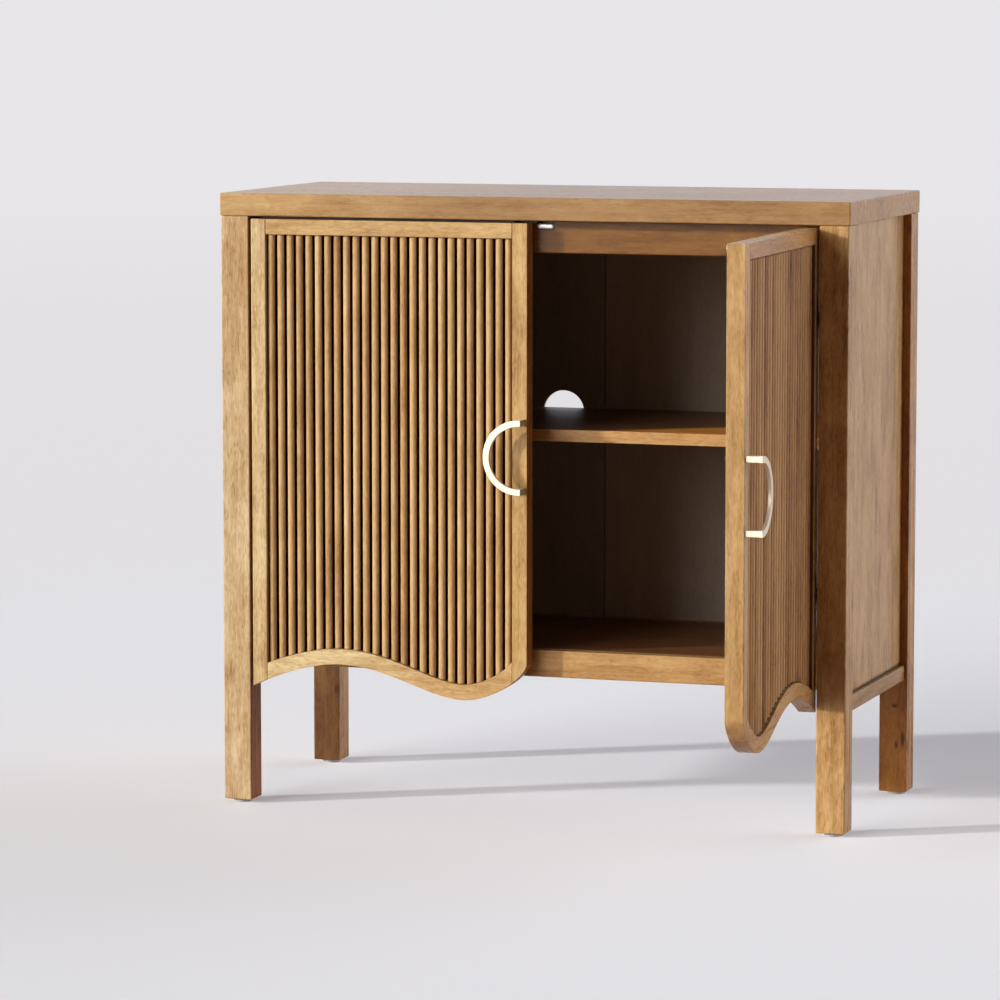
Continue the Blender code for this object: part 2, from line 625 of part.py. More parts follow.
def build_door(name, side, opened, cabinet):
    """One door, built shut and turned about its hinge axis. Places are distances from the hinge edge,
    depths behind the face and heights above the floor."""
    pivot = new_empty(f"{name}_door_axis", (side * PIN_X, PIN_BACK, 0.0), cabinet, side * opened)

    def at(along, depth, height):
        return (side * (PIN_IN - along), depth - PIN_BACK, height)

    def box(low, high):
        return (at(*low), at(*high))

    def flat(part_name, outline, finish, depth, thickness):
        across = [(at(s, 0.0, z)[0], z) for s, z in outline]
        part = add_part(part_name, outline_mesh(part_name, across, thickness, True), pivot, finish)
        part.location.y = depth + thickness / 2 - PIN_BACK
        return part

    lower = wave_edge()
    upper = parallel(lower, STILE)
    inner_end = DOOR_WIDTH - STILE
    groove_top = DOOR_TOP - STILE + TONGUE + SEAT_GAP
    groove_front = BACKING_FRONT - SEAT_GAP
    groove_back = BACKING_BACK + SEAT_GAP

    hinge_outline = stretch_of(lower, 0.0, STILE) + [(STILE, DOOR_TOP), (0.0, DOOR_TOP)]
    hinge_stile = flat(f"{name}_door_hinge_stile", hinge_outline, WOOD, 0.0, DOOR_THICKNESS)
    ease(hinge_stile, DOOR_EDGE_ROUND)
    free_outline = stretch_of(lower, inner_end, DOOR_WIDTH) + [(DOOR_WIDTH, DOOR_TOP), (inner_end, DOOR_TOP)]
    free_stile = flat(f"{name}_door_free_stile", free_outline, WOOD, 0.0, DOOR_THICKNESS)
    ease(free_stile, DOOR_EDGE_ROUND)
    for stile, start, end in (
        (hinge_stile, STILE - TONGUE - SEAT_GAP, STILE + CUT_PAST),
        (free_stile, inner_end - CUT_PAST, inner_end + TONGUE + SEAT_GAP),
    ):
        foot = height_at(upper, start) - SEAT_GAP
        groove = box_cutter(
            f"{stile.name} groove", box((start, groove_front, foot), (end, groove_back, groove_top)), pivot
        )
        combine(stile, groove, "DIFFERENCE")

    rail_start, rail_end = STILE + SEAT_GAP, inner_end - SEAT_GAP
    rail_corners = box((rail_start, 0.0, DOOR_TOP - STILE), (rail_end, DOOR_THICKNESS, DOOR_TOP))
    top_rail = board(f"{name}_door_top_rail", rail_corners, pivot, WOOD, DOOR_EDGE_ROUND)
    groove = box_cutter(
        f"{top_rail.name} groove",
        box((0.0, groove_front, DOOR_TOP - STILE - CUT_PAST), (DOOR_WIDTH, groove_back, groove_top)),
        pivot,
    )
    combine(top_rail, groove, "DIFFERENCE")
    wave = stretch_of(lower, rail_start, rail_end) + list(reversed(stretch_of(upper, rail_start, rail_end)))
    wave_rail = flat(f"{name}_door_wave_rail", wave, WOOD, 0.0, DOOR_THICKNESS)
    ease(wave_rail, DOOR_EDGE_ROUND)

    build_reeded_panel(name, pivot, at, box, lower)
    build_handle(name, pivot, at, box, flat, free_stile)
    build_hinge_pockets(name, pivot, box, hinge_stile)
    strike_along = DOOR_WIDTH - CATCH_AT + MEETING_GAP / 2
    strike_top = DOOR_TOP - STRIKE_BELOW_TOP
    strike_front = DOOR_THICKNESS + SEAT_GAP
    strike_corners = box(
        (strike_along - STRIKE_WIDTH / 2, strike_front, strike_top - STRIKE_HEIGHT),
        (strike_along + STRIKE_WIDTH / 2, strike_front + STRIKE_THICKNESS, strike_top),
    )
    board(f"{name}_door_strike_plate", strike_corners, pivot, STEEL, STRIKE_EASE)


def build_reeded_panel(name, pivot, at, box, lower):
    """The reeds and their backing, cut along the wave below and down to a tongue above."""
    reed_top = DOOR_TOP - STILE - SEAT_GAP
    panel_top = DOOR_TOP - STILE + TONGUE
    panel_foot = WAVE_TROUGH_Z
    outline = [at(s, depth, 0.0)[:2] for s, depth in reed_profile()]
    part_name = f"{name}_door_reeded_panel"
    panel = add_part(part_name, outline_mesh(part_name, outline, panel_top - panel_foot, False), pivot, WOOD)
    panel.location.z = (panel_top + panel_foot) / 2
    crown = box_cutter(
        f"{name} reed tops",
        box(
            (0.0, -CUT_PAST, reed_top),
            (DOOR_WIDTH, BACKING_FRONT + SEAT_GAP, panel_top + CUT_PAST),
        ),
        pivot,
    )
    combine(panel, crown, "DIFFERENCE")
    seat = stretch_of(parallel(lower, STILE + SEAT_GAP), 0.0, DOOR_WIDTH)
    below = [(DOOR_WIDTH, panel_foot - STILE), (0.0, panel_foot - STILE)]
    across = [(at(s, 0.0, z)[0], z) for s, z in seat + below]
    thickness = DOOR_THICKNESS + 2 * CUT_PAST
    foot = add_cutter(f"{name} reed feet", outline_mesh("reed feet", across, thickness, True), pivot)
    foot.location.y = DOOR_THICKNESS / 2 - PIN_BACK
    combine(panel, foot, "DIFFERENCE")


def build_handle(name, pivot, at, box, flat, free_stile):
    """A half-ring pull on two square posts, each held by a screw through the stile."""
    end = DOOR_WIDTH - HANDLE_EDGE_GAP
    handle = flat(f"{name}_door_handle", half_ring(end), CHAMPAGNE, -HANDLE_STANDOFF, HANDLE_THICKNESS)
    ease(handle, HANDLE_EASE, 1)
    post_end = end - POST_INSET
    for place, way in (("upper", 1), ("lower", -1)):
        middle = HANDLE_Z + way * (HANDLE_RADIUS - HANDLE_BAR / 2)
        post = box_cutter(
            f"{name} handle post {place}",
            box(
                (post_end - POST, HANDLE_THICKNESS / 2 - HANDLE_STANDOFF, middle - POST / 2),
                (post_end, -SEAT_GAP, middle + POST / 2),
            ),
            pivot,
        )
        combine(handle, post, "UNION")
        along = post_end - POST / 2
        screw = build_screw(f"{name}_door_handle_screw_{place}", pivot)
        screw.location = at(along, DOOR_THICKNESS + SEAT_GAP, middle)
        screw.rotation_euler.x = -math.pi / 2
        reach = SCREW_GRIP + SEAT_GAP
        start, finish = -reach, DOOR_THICKNESS + CUT_PAST
        hole = rod_cutter(
            f"{name} screw hole {place}",
            SCREW_DIAMETER / 2 + SEAT_GAP,
            finish - start,
            "Y",
            at(along, (start + finish) / 2, middle),
            pivot,
        )
        combine(handle, hole, "DIFFERENCE")
        combine(free_stile, hole, "DIFFERENCE")


def build_screw(name, pivot):
    """A round-headed machine screw standing on its tip side, head up, with the seat of the head at Z = 0."""
    shank, head = SCREW_DIAMETER / 2, SCREW_HEAD_DIAMETER / 2
    tip = -(DOOR_THICKNESS + SEAT_GAP + SCREW_GRIP)
    profile = [
        (0.0, SCREW_HEAD_HEIGHT),
        (SCREW_CROWN_DIAMETER / 2, SCREW_HEAD_HEIGHT - SCREW_CROWN_DROP),
        (head, SCREW_RIM_HEIGHT),
        (head, 0.0),
        (shank, 0.0),
        (shank, tip),
        (0.0, tip),
    ]
    return turned(name, profile, pivot, STEEL)


def build_hinge_pockets(name, pivot, box, hinge_stile):
    """A pocket in the back corner of the stile at each hinge, with the pin across it."""
    pocket_height = ARM_HEIGHT + 2 * ARM_CLEARANCE
    pin_length = pocket_height + 2 * HINGE_PIN_GRIP
    for place, z in HINGE_HEIGHTS.items():
        pocket = box_cutter(
            f"{name} hinge pocket {place}",
            box(
                (-CUT_PAST, PIN_BACK - POCKET_FRONT, z - pocket_height / 2),
                (PIN_IN + POCKET_INNER, DOOR_THICKNESS + CUT_PAST, z + pocket_height / 2),
            ),
            pivot,
        )
        combine(hinge_stile, pocket, "DIFFERENCE")
        pin_name = f"{name}_door_hinge_pin_{place}"
        radius = HINGE_PIN_DIAMETER / 2
        pin = add_part(pin_name, rod_mesh(pin_name, radius, pin_length, "Z"), pivot, STEEL)
        pin.location.z = z
        hole_length = pin_length + 2 * SEAT_GAP
        middle = (0.0, 0.0, z)
        hole = rod_cutter(f"{pin_name} hole", radius + SEAT_GAP, hole_length, "Z", middle, pivot)
        combine(hinge_stile, hole, "DIFFERENCE")


def build_hinge_arms(name, side, cabinet):
    """Cranked arms on the front leg, each with an eye round the door's pin."""
    arm_front = DOOR_THICKNESS + ARM_SETBACK
    plate_face = LEG_INNER - SEAT_GAP
    half = ARM_THICKNESS / 2
    for place, z in HINGE_HEIGHTS.items():
        arm_name = f"{name}_hinge_arm_{place}"
        plate = (
            (side * (plate_face - PLATE_THICKNESS), arm_front, z - PLATE_HEIGHT / 2),
            (side * plate_face, arm_front + PLATE_DEPTH, z + PLATE_HEIGHT / 2),
        )
        arm = board(arm_name, plate, cabinet, STEEL, SMALL_EASE)
        low, high = z - ARM_HEIGHT / 2, z + ARM_HEIGHT / 2
        elbow = arm_front + ARM_THICKNESS
        bars = {
            "neck": ((side * (PIN_X - half), PIN_BACK, low), (side * (PIN_X + half), elbow, high)),
            "foot": (
                (side * PIN_X, arm_front + SEAT_GAP, low + SEAT_GAP),
                (side * (plate_face - PLATE_THICKNESS / 2), elbow - SEAT_GAP, high - SEAT_GAP),
            ),
        }
        for bar, corners in bars.items():
            combine(arm, box_cutter(f"{arm_name} {bar}", corners, cabinet), "UNION")
        axis = (side * PIN_X, PIN_BACK, z)
        eye = rod_cutter(
            f"{arm_name} eye", EYE_DIAMETER / 2, ARM_HEIGHT - 2 * SEAT_GAP, "Z", axis, cabinet
        )
        combine(arm, eye, "UNION")
        radius = HINGE_PIN_DIAMETER / 2 + HINGE_PIN_CLEARANCE
        bore = rod_cutter(f"{arm_name} bore", radius, ARM_HEIGHT + CUT_PAST, "Z", axis, cabinet)
        combine(arm, bore, "DIFFERENCE")


def shade_round_pieces():
    for part in PARTS.objects:
        if part.type == "MESH":
            part.data.shade_smooth()
            part.data.set_sharp_from_angle(angle=SHARP_ANGLE)


def build():
    cabinet = new_empty("cabinet", (0.0, FRONT_Y, 0.0))
    build_carcass(cabinet)
    for name, opened in (("left", LEFT_DOOR_OPEN), ("right", RIGHT_DOOR_OPEN)):
        build_door(name, SIDES[name], opened, cabinet)
        build_hinge_arms(name, SIDES[name], cabinet)
    shade_round_pieces()


build()
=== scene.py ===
import json
import math

import bmesh
import bpy
import numpy as np
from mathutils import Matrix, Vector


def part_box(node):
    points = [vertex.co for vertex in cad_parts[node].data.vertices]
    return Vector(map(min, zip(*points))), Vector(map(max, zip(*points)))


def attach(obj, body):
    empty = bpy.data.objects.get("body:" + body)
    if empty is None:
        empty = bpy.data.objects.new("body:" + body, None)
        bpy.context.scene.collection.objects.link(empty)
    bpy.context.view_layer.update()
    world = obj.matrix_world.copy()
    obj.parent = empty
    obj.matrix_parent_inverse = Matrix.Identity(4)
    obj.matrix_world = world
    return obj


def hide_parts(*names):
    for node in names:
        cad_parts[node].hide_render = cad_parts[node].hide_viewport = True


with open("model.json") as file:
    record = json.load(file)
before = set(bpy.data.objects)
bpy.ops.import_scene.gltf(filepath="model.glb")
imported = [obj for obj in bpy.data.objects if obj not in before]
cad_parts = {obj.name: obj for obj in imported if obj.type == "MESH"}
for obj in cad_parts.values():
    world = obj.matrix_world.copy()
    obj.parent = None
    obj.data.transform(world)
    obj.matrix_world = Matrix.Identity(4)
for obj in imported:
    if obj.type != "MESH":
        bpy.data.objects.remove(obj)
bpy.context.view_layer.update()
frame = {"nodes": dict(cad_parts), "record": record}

print("frame loaded,", len(frame["nodes"]), "nodes")


class Wire:
    # one output of a shader node; arithmetic on it, from either side, adds a Math node
    def __init__(self, bench, socket):
        self.bench = bench
        self.socket = socket

    def twin(self, name):
        return Wire(self.bench, self.socket.node.outputs[name])  # another output of the same node

    def __add__(self, other):
        return self.bench.math("ADD", self, other)

    def __radd__(self, other):
        return self.bench.math("ADD", other, self)

    def __sub__(self, other):
        return self.bench.math("SUBTRACT", self, other)

    def __rsub__(self, other):
        return self.bench.math("SUBTRACT", other, self)

    def __mul__(self, other):
        return self.bench.math("MULTIPLY", self, other)

    def __rmul__(self, other):
        return self.bench.math("MULTIPLY", other, self)


class Bench:
    # a node tree that is filled by one node-making method
    def __init__(self, tree):
        self.tree = tree
        self.tree.nodes.clear()

    def add(self, kind, settings=None, sockets=None, out=0):
        # a node with its settings, then a value or a link for each socket; gives one of its outputs
        node = self.tree.nodes.new(kind)
        for key, value in (settings or {}).items():
            if key == "stops":
                self.setStops(node.color_ramp, value)
            else:
                setattr(node, key, value)
        for key, value in (sockets or {}).items():
            if isinstance(value, Wire):
                self.tree.links.new(value.socket, node.inputs[key])
            else:
                node.inputs[key].default_value = value
        return Wire(self, node.outputs[out]) if len(node.outputs) else None

    def setStops(self, ramp, stops):
        # a ramp with one element for each position and colour
        while len(ramp.elements) < len(stops):
            ramp.elements.new(0.5)
        for element, (position, colour) in zip(ramp.elements, stops):
            element.position = position
            element.color = (*colour, 1.0)

    def math(self, operation, first, second):
        # first and second joined by a Math node
        return self.add("ShaderNodeMath", {"operation": operation}, {0: first, 1: second})

    def blend(self, kind, factor, first, second):
        # a colour mix: sockets 6 and 7 take its two colours, and output 2 gives the result
        settings = {"data_type": "RGBA", "blend_type": kind}
        return self.add("ShaderNodeMix", settings, {0: factor, 6: first, 7: second}, 2)

    def tinted(self, colour, tint, share=1.0):
        # colour times tint, by a share from 0 to 1
        return self.blend("MULTIPLY", share, colour, (*tint, 1.0))

    def between(self, share, first, second):
        # from the first colour, at a share of 0, to the second
        return self.blend("MIX", share, (*first, 1.0), (*second, 1.0))

    def ease(self, value, start, end, low=0.0, high=1.0):
        # smooth step of a value from start to end, spread from low to high
        settings = {"interpolation_type": "SMOOTHSTEP"}
        return self.add("ShaderNodeMapRange", settings, {0: value, 1: start, 2: end, 3: low, 4: high})

    def stretched(self, place, scale, shift=(0.0, 0.0, 0.0)):
        # place times scale plus shift, axis by axis
        settings = {"operation": "MULTIPLY_ADD"}
        return self.add("ShaderNodeVectorMath", settings, {0: place, 1: scale, 2: shift})

    def length(self, place):
        # how far a place is from the origin
        return self.add("ShaderNodeVectorMath", {"operation": "LENGTH"}, {0: place}, "Value")

    def along(self, place, way):
        # how far a place is along a way: their dot product
        return self.add("ShaderNodeVectorMath", {"operation": "DOT_PRODUCT"}, {0: place, 1: way}, "Value")

    def noise(self, place, detail, distortion=0.0):
        # fractal noise, one unit of place to a cell
        sockets = {"Vector": place, "Scale": 1.0, "Detail": detail, "Distortion": distortion}
        return self.add("ShaderNodeTexNoise", None, sockets)


def newMaterial(name):
    # an empty material and the bench for its nodes
    material = bpy.data.materials.new(name)
    material.use_nodes = True
    return material, Bench(material.node_tree)


def closeMaterial(bench, look, height, sockets):
    # the shader with its varying and fixed sockets, its normal bumped by the height
    relief = {"Strength": look["bump"], "Distance": look["bumpDepth"], "Height": height}
    bump = bench.add("ShaderNodeBump", None, relief)
    shader = bench.add("ShaderNodeBsdfPrincipled", None, {**sockets, "Normal": bump})
    bench.add("ShaderNodeOutputMaterial", None, {"Surface": shader})


# Wood: clouds, streaks, mottles, fibres and pores, all stretched along the grain
woodLook = {
    "cloud": {"across": 30.0, "along": 10.0, "weight": 0.70, "detail": 3.0, "distortion": 0.9},
    "streak": {"across": 105.0, "along": 6.0, "weight": 0.45, "detail": 2.0, "distortion": 0.4},
    "mottle": {"across": 250.0, "along": 75.0, "weight": 0.55, "detail": 3.0, "distortion": 1.2},
    "fibre": {"across": 640.0, "along": 44.0, "weight": 0.30, "detail": 1.0, "distortion": 0.0},
    "pore": {"across": 760.0, "along": 105.0, "detail": 0.0, "distortion": 0.0},
    "poreFrom": 0.60,
    "poreTo": 0.76,
    "poreDark": 0.24,
    "darkTint": (0.18, 0.12, 0.08),  # of pores and knots
    "knot": {"across": 26.0, "along": 11.0, "radius": 0.14, "dark": 0.75},
    # painted shade of the groove marks on the reeds and their backing
    "grooveEdge": (0.50, 0.34, 0.22),
    "grooveEdgeTo": 0.60,  # share of the groove mark
    "grooveDeep": (0.07, 0.05, 0.03),
    "grooveDeepFrom": 0.35,
    "fibreRise": 0.4,
    "poreDip": 0.6,
    "bump": 0.06,
    "bumpDepth": 0.0004,
    "streakDull": 0.16,
    "poreDull": 0.12,
}
stainLook = {
    "stops": [
        (0.0, (0.040, 0.014, 0.004)),
        (0.16, (0.235, 0.105, 0.030)),
        (0.40, (0.390, 0.217, 0.076)),
        (0.62, (0.500, 0.310, 0.125)),
        (1.0, (0.640, 0.440, 0.215)),
    ],
    "roughness": 0.28,
    "specular": 0.22,
    "contrast": 1.0,
}
figuredLook = {**stainLook, "contrast": 1.25}
reedLook = {**stainLook, "contrast": 0.8}
topLook = {**stainLook, "contrast": 0.85}
legLook = {**stainLook, "specular": 0.06}
innerLook = {
    "stops": [
        (0.0, (0.016, 0.006, 0.002)),
        (0.16, (0.120, 0.050, 0.016)),
        (0.40, (0.220, 0.108, 0.041)),
        (0.62, (0.300, 0.160, 0.066)),
        (1.0, (0.400, 0.235, 0.110)),
    ],
    "roughness": 0.50,
    "specular": 0.15,
    "contrast": 0.8,
}
shelfLook = {**innerLook, "roughness": 0.42, "specular": 0.38}
plainLook = {
    "stops": [
        (0.0, (0.150, 0.098, 0.066)),
        (0.35, (0.200, 0.135, 0.094)),
        (0.62, (0.240, 0.164, 0.116)),
        (1.0, (0.290, 0.200, 0.145)),
    ],
    "roughness": 0.60,
    "specular": 0.12,
    "contrast": 0.5,
}
shiftStep = (1.37, 2.11, 0.73)  # one board's place in the noise from the next


def alongGrain(axis, facts):
    # scale vector with the finer step across the grain and the coarser step along it
    scale = [facts["across"]] * 3
    scale["xyz".index(axis)] = facts["along"]
    return scale


def makeWood(name, axis, seed, tint, look, knots=False, toned=False, shades=()):
    # tone = 0.5 + contrast * sum of weight * (noise - 0.5); colour = ramp(tone) * tint, darker in pores and
    # knots, then tinted by each shade, mostly painted shade or light, as way . place, or the length of
    # (place - spot) / half, runs from its start to its end; toned adds a mesh's own tone and groove marks
    # of painted shade
    material, bench = newMaterial(name)
    place = bench.add("ShaderNodeTexCoord", None, None, "Object")
    shift = [seed * step for step in shiftStep]

    def grained(facts):
        # the place scaled along and across the grain, and shifted for this board
        return bench.stretched(place, alongGrain(axis, facts), shift)

    def layer(kind):
        # one noise of the wood
        facts = woodLook[kind]
        return bench.noise(grained(facts), facts["detail"], facts["distortion"])

    streak = layer("streak")
    fibre = layer("fibre")
    pore = bench.ease(layer("pore"), woodLook["poreFrom"], woodLook["poreTo"])
    tone = 0.5 + look["contrast"] * (
        woodLook["cloud"]["weight"] * (layer("cloud") - 0.5)
        + woodLook["streak"]["weight"] * (streak - 0.5)
        + woodLook["mottle"]["weight"] * (layer("mottle") - 0.5)
        + woodLook["fibre"]["weight"] * (fibre - 0.5)
    )
    if toned:
        tone = tone + bench.add("ShaderNodeAttribute", {"attribute_name": "tone"}, None, "Fac")
    colour = bench.add("ShaderNodeValToRGB", {"stops": look["stops"]}, {0: tone})
    colour = bench.tinted(colour, tint)
    if toned:
        # groove marks are painted shade: brown at the edge of the mark, near black deep in it
        groove = bench.add("ShaderNodeAttribute", {"attribute_name": "groove"}, None, "Fac")
        edge = bench.ease(groove, 0.0, woodLook["grooveEdgeTo"])
        deep = bench.ease(groove, woodLook["grooveDeepFrom"], 1.0)
        colour = bench.tinted(colour, woodLook["grooveEdge"], edge)
        colour = bench.tinted(colour, woodLook["grooveDeep"], deep)
    for shade in shades:
        if "spot" in shade:
            scale = [1.0 / half for half in shade["half"]]
            middle = [-at * by for at, by in zip(shade["spot"], scale)]
            reach = bench.length(bench.stretched(place, scale, middle))
        else:
            reach = bench.along(place, shade["way"])
        colour = bench.tinted(colour, shade["tint"], bench.ease(reach, shade["start"], shade["end"]))
    dark = pore * (look["contrast"] * woodLook["poreDark"])
    if knots:
        facts = woodLook["knot"]
        sockets = {"Vector": grained(facts), "Scale": 1.0}
        spots = bench.add("ShaderNodeTexVoronoi", {"feature": "F1"}, sockets)
        dark = dark + bench.ease(spots, 0.0, facts["radius"], facts["dark"], 0.0)
    dull = woodLook["streakDull"] * (streak - 0.5) + woodLook["poreDull"] * pore
    closeMaterial(
        bench,
        woodLook,
        fibre * woodLook["fibreRise"] - pore * woodLook["poreDip"],
        {
            "Base Color": bench.blend("MIX", dark, colour, bench.tinted(colour, woodLook["darkTint"])),
            "Roughness": look["roughness"] + dull,
            "Specular IOR Level": look["specular"],
        },
    )
    return material


# Metal: fine scratches along one axis, and a haze
metalLook = {
    "detail": 2.0,
    "haze": 60.0,
    "fade": 0.94,
    "scratchDull": 0.14,
    "hazeDull": 0.10,
    "bump": 0.05,
    "bumpDepth": 0.0002,
}


def makeMetal(name, tint, roughness, brushed, metallic=1.0):
    # noise stretched along one axis varies the tint, from fade to whole, the bump and the roughness
    material, bench = newMaterial(name)
    place = bench.add("ShaderNodeTexCoord", None, None, "Object")
    scratch = bench.noise(bench.stretched(place, brushed), metalLook["detail"])
    haze = bench.noise(bench.stretched(place, [metalLook["haze"]] * 3), metalLook["detail"])
    dull = metalLook["scratchDull"] * (scratch - 0.5) + metalLook["hazeDull"] * (haze - 0.5)
    closeMaterial(
        bench,
        metalLook,
        scratch,
        {
            "Base Color": bench.between(scratch, [metalLook["fade"] * part for part in tint], tint),
            "Metallic": metallic,
            "Roughness": roughness + dull,
        },
    )
    return material


# Plastic: a fine moulded pebble, and a faint haze
plasticLook = {
    "pebble": 1800.0,
    "pebbleDetail": 1.0,
    "haze": 120.0,
    "hazeDetail": 3.0,
    "fade": 0.90,
    "pebbleDull": 0.12,
    "specular": 0.35,
    "bump": 0.10,
    "bumpDepth": 0.0002,
}


def makePlastic(name, tint, roughness):
    # the pebble varies the bump and the roughness, and the haze the tint, from fade to whole
    material, bench = newMaterial(name)
    place = bench.add("ShaderNodeTexCoord", None, None, "Object")
    pebble = bench.noise(bench.stretched(place, [plasticLook["pebble"]] * 3), plasticLook["pebbleDetail"])
    haze = bench.noise(bench.stretched(place, [plasticLook["haze"]] * 3), plasticLook["hazeDetail"])
    closeMaterial(
        bench,
        plasticLook,
        pebble,
        {
            "Base Color": bench.between(haze, [plasticLook["fade"] * part for part in tint], tint),
            "Roughness": roughness + plasticLook["pebbleDull"] * (pebble - 0.5),
            "Specular IOR Level": plasticLook["specular"],
        },
    )
    return material


# Fittings: tint, roughness, then for metals the scratches per metre by axis and the share of metal
metals = {
    "champagne_metal": makeMetal("champagne", (0.78, 0.69, 0.52), 0.46, (500.0, 500.0, 60.0), 0.65),
    "steel": makeMetal("zincSteel", (0.50, 0.49, 0.48), 0.40, (700.0, 700.0, 80.0)),
}
darkSteel = makeMetal("darkSteel", (0.10, 0.085, 0.07), 0.45, (700.0, 700.0, 80.0))
polishedSteel = makeMetal("polishedSteel", (0.43, 0.43, 0.42), 0.26, (900.0, 60.0, 900.0))
plastics = {
    "white_plastic": makePlastic("whitePlastic", (0.50, 0.50, 0.49), 0.42),
    "glide_plastic": makePlastic("glidePlastic", (0.46, 0.46, 0.45), 0.50),
}

# Boards that stay as the CAD has them: grain axis, tint, look, knots
boards = {
    "top_panel": ("x", (0.95, 0.95, 0.90), topLook, False),
    "leg_front_left": ("z", (1.14, 1.35, 1.88), legLook, False),
    "leg_front_right": ("z", (0.98, 0.95, 0.92), figuredLook, True),
    "leg_rear_left": ("z", (0.90, 0.84, 0.80), figuredLook, True),
    "leg_rear_right": ("z", (0.92, 0.80, 0.68), figuredLook, True),
    "side_panel_left": ("z", (1.03, 1.04, 1.07), stainLook, False),
    "side_panel_right": ("z", (1.03, 1.04, 1.07), stainLook, False),
    "side_rail_left": ("y", (0.80, 0.74, 0.69), stainLook, False),
    "side_rail_right": ("y", (0.80, 0.74, 0.69), stainLook, False),
    # painted shade: the front top rail's tint is darkened for the shade under the top
    "front_top_rail": ("x", (0.42, 0.30, 0.14), stainLook, False),
    "front_lower_rail": ("x", (0.92, 0.88, 0.84), stainLook, False),
    "rear_top_rail": ("x", (1.0, 1.0, 1.0), innerLook, False),
    "rear_lower_rail": ("x", (1.0, 1.0, 1.0), innerLook, False),
    # painted shade: the bottom panel's tint is darkened for the shade inside the cabinet
    "bottom_panel": ("x", (0.53, 0.44, 0.41), innerLook, False),
    "bottom_cleat_left": ("y", (1.0, 1.0, 1.0), innerLook, False),
    "bottom_cleat_right": ("y", (1.0, 1.0, 1.0), innerLook, False),
    # painted shade: the left back panel is darker than the right one, for the shade behind the shut left
    # door
    "back_panel_left": ("z", (0.92, 1.12, 1.38), plainLook, False),
    "back_panel_right": ("z", (1.10, 1.32, 1.53), plainLook, False),
    # painted shade: the shelf's tint is darkened for the shade inside; its edge strip keeps the stained
    # colour
    "shelf": ("x", (0.50, 0.46, 0.51), shelfLook, False),
    "left_door_hinge_stile": ("z", (1.21, 1.44, 1.84), stainLook, False),
    "left_door_top_rail": ("x", (1.00, 1.02, 1.01), stainLook, False),
    "right_door_hinge_stile": ("z", (0.93, 0.86, 0.78), stainLook, False),
    "right_door_top_rail": ("y", (0.98, 0.88, 0.79), stainLook, False),
}

# Shades: tints over faces, edges and stretches of a board, most of them painted shade or light as named at
# each; the knots and the back panels' seam are the wood's own
toRight, toBack, toTop = (1.0, 0.0, 0.0), (0.0, 1.0, 0.0), (0.0, 0.0, 1.0)
toLeft, toFront, toFoot = (-1.0, 0.0, 0.0), (0.0, -1.0, 0.0), (0.0, 0.0, -1.0)
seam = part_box("back_panel_right")[0].x
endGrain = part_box("top_panel")[1].x
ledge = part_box("side_rail_right")[1].z
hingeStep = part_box("right_door_hinge_stile")[0].y
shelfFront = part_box("shelf")[0].y
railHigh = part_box("front_top_rail")[1]
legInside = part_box("leg_front_left")[1].x
legLow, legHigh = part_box("leg_rear_right")
rearFace = legLow.y
seamTint = (0.4, 0.4, 0.4)
legKnots = {
    "start": 1.3,
    "end": 0.3,
    "tint": (0.24, 0.17, 0.12),
    "depth": 0.01,
    "spots": [  # share of the leg's width, height, half width, half height
        (0.55, 0.1136, 0.0046, 0.0032),
        (0.84, 0.0720, 0.0030, 0.0120),
        (0.62, 0.0640, 0.0022, 0.0060),
    ],
}


def shadeAlong(way, start, end, tint):
    # from untinted at start to the whole tint at end, measured along a way
    return {"way": way, "start": start, "end": end, "tint": tint}


def faceShade(way, face, under, depth, tint):
    # the whole tint down to under a face that looks along a way, then fading over a depth
    return shadeAlong(way, face - under - depth, face - under, tint)


def knotShade(across, height, halfWidth, halfHeight):
    # an upright oval on the front of a leg
    return {
        "spot": (legLow.x + across * (legHigh.x - legLow.x), rearFace, height),
        "half": (halfWidth, legKnots["depth"], halfHeight),
        "start": legKnots["start"],
        "end": legKnots["end"],
        "tint": legKnots["tint"],
    }


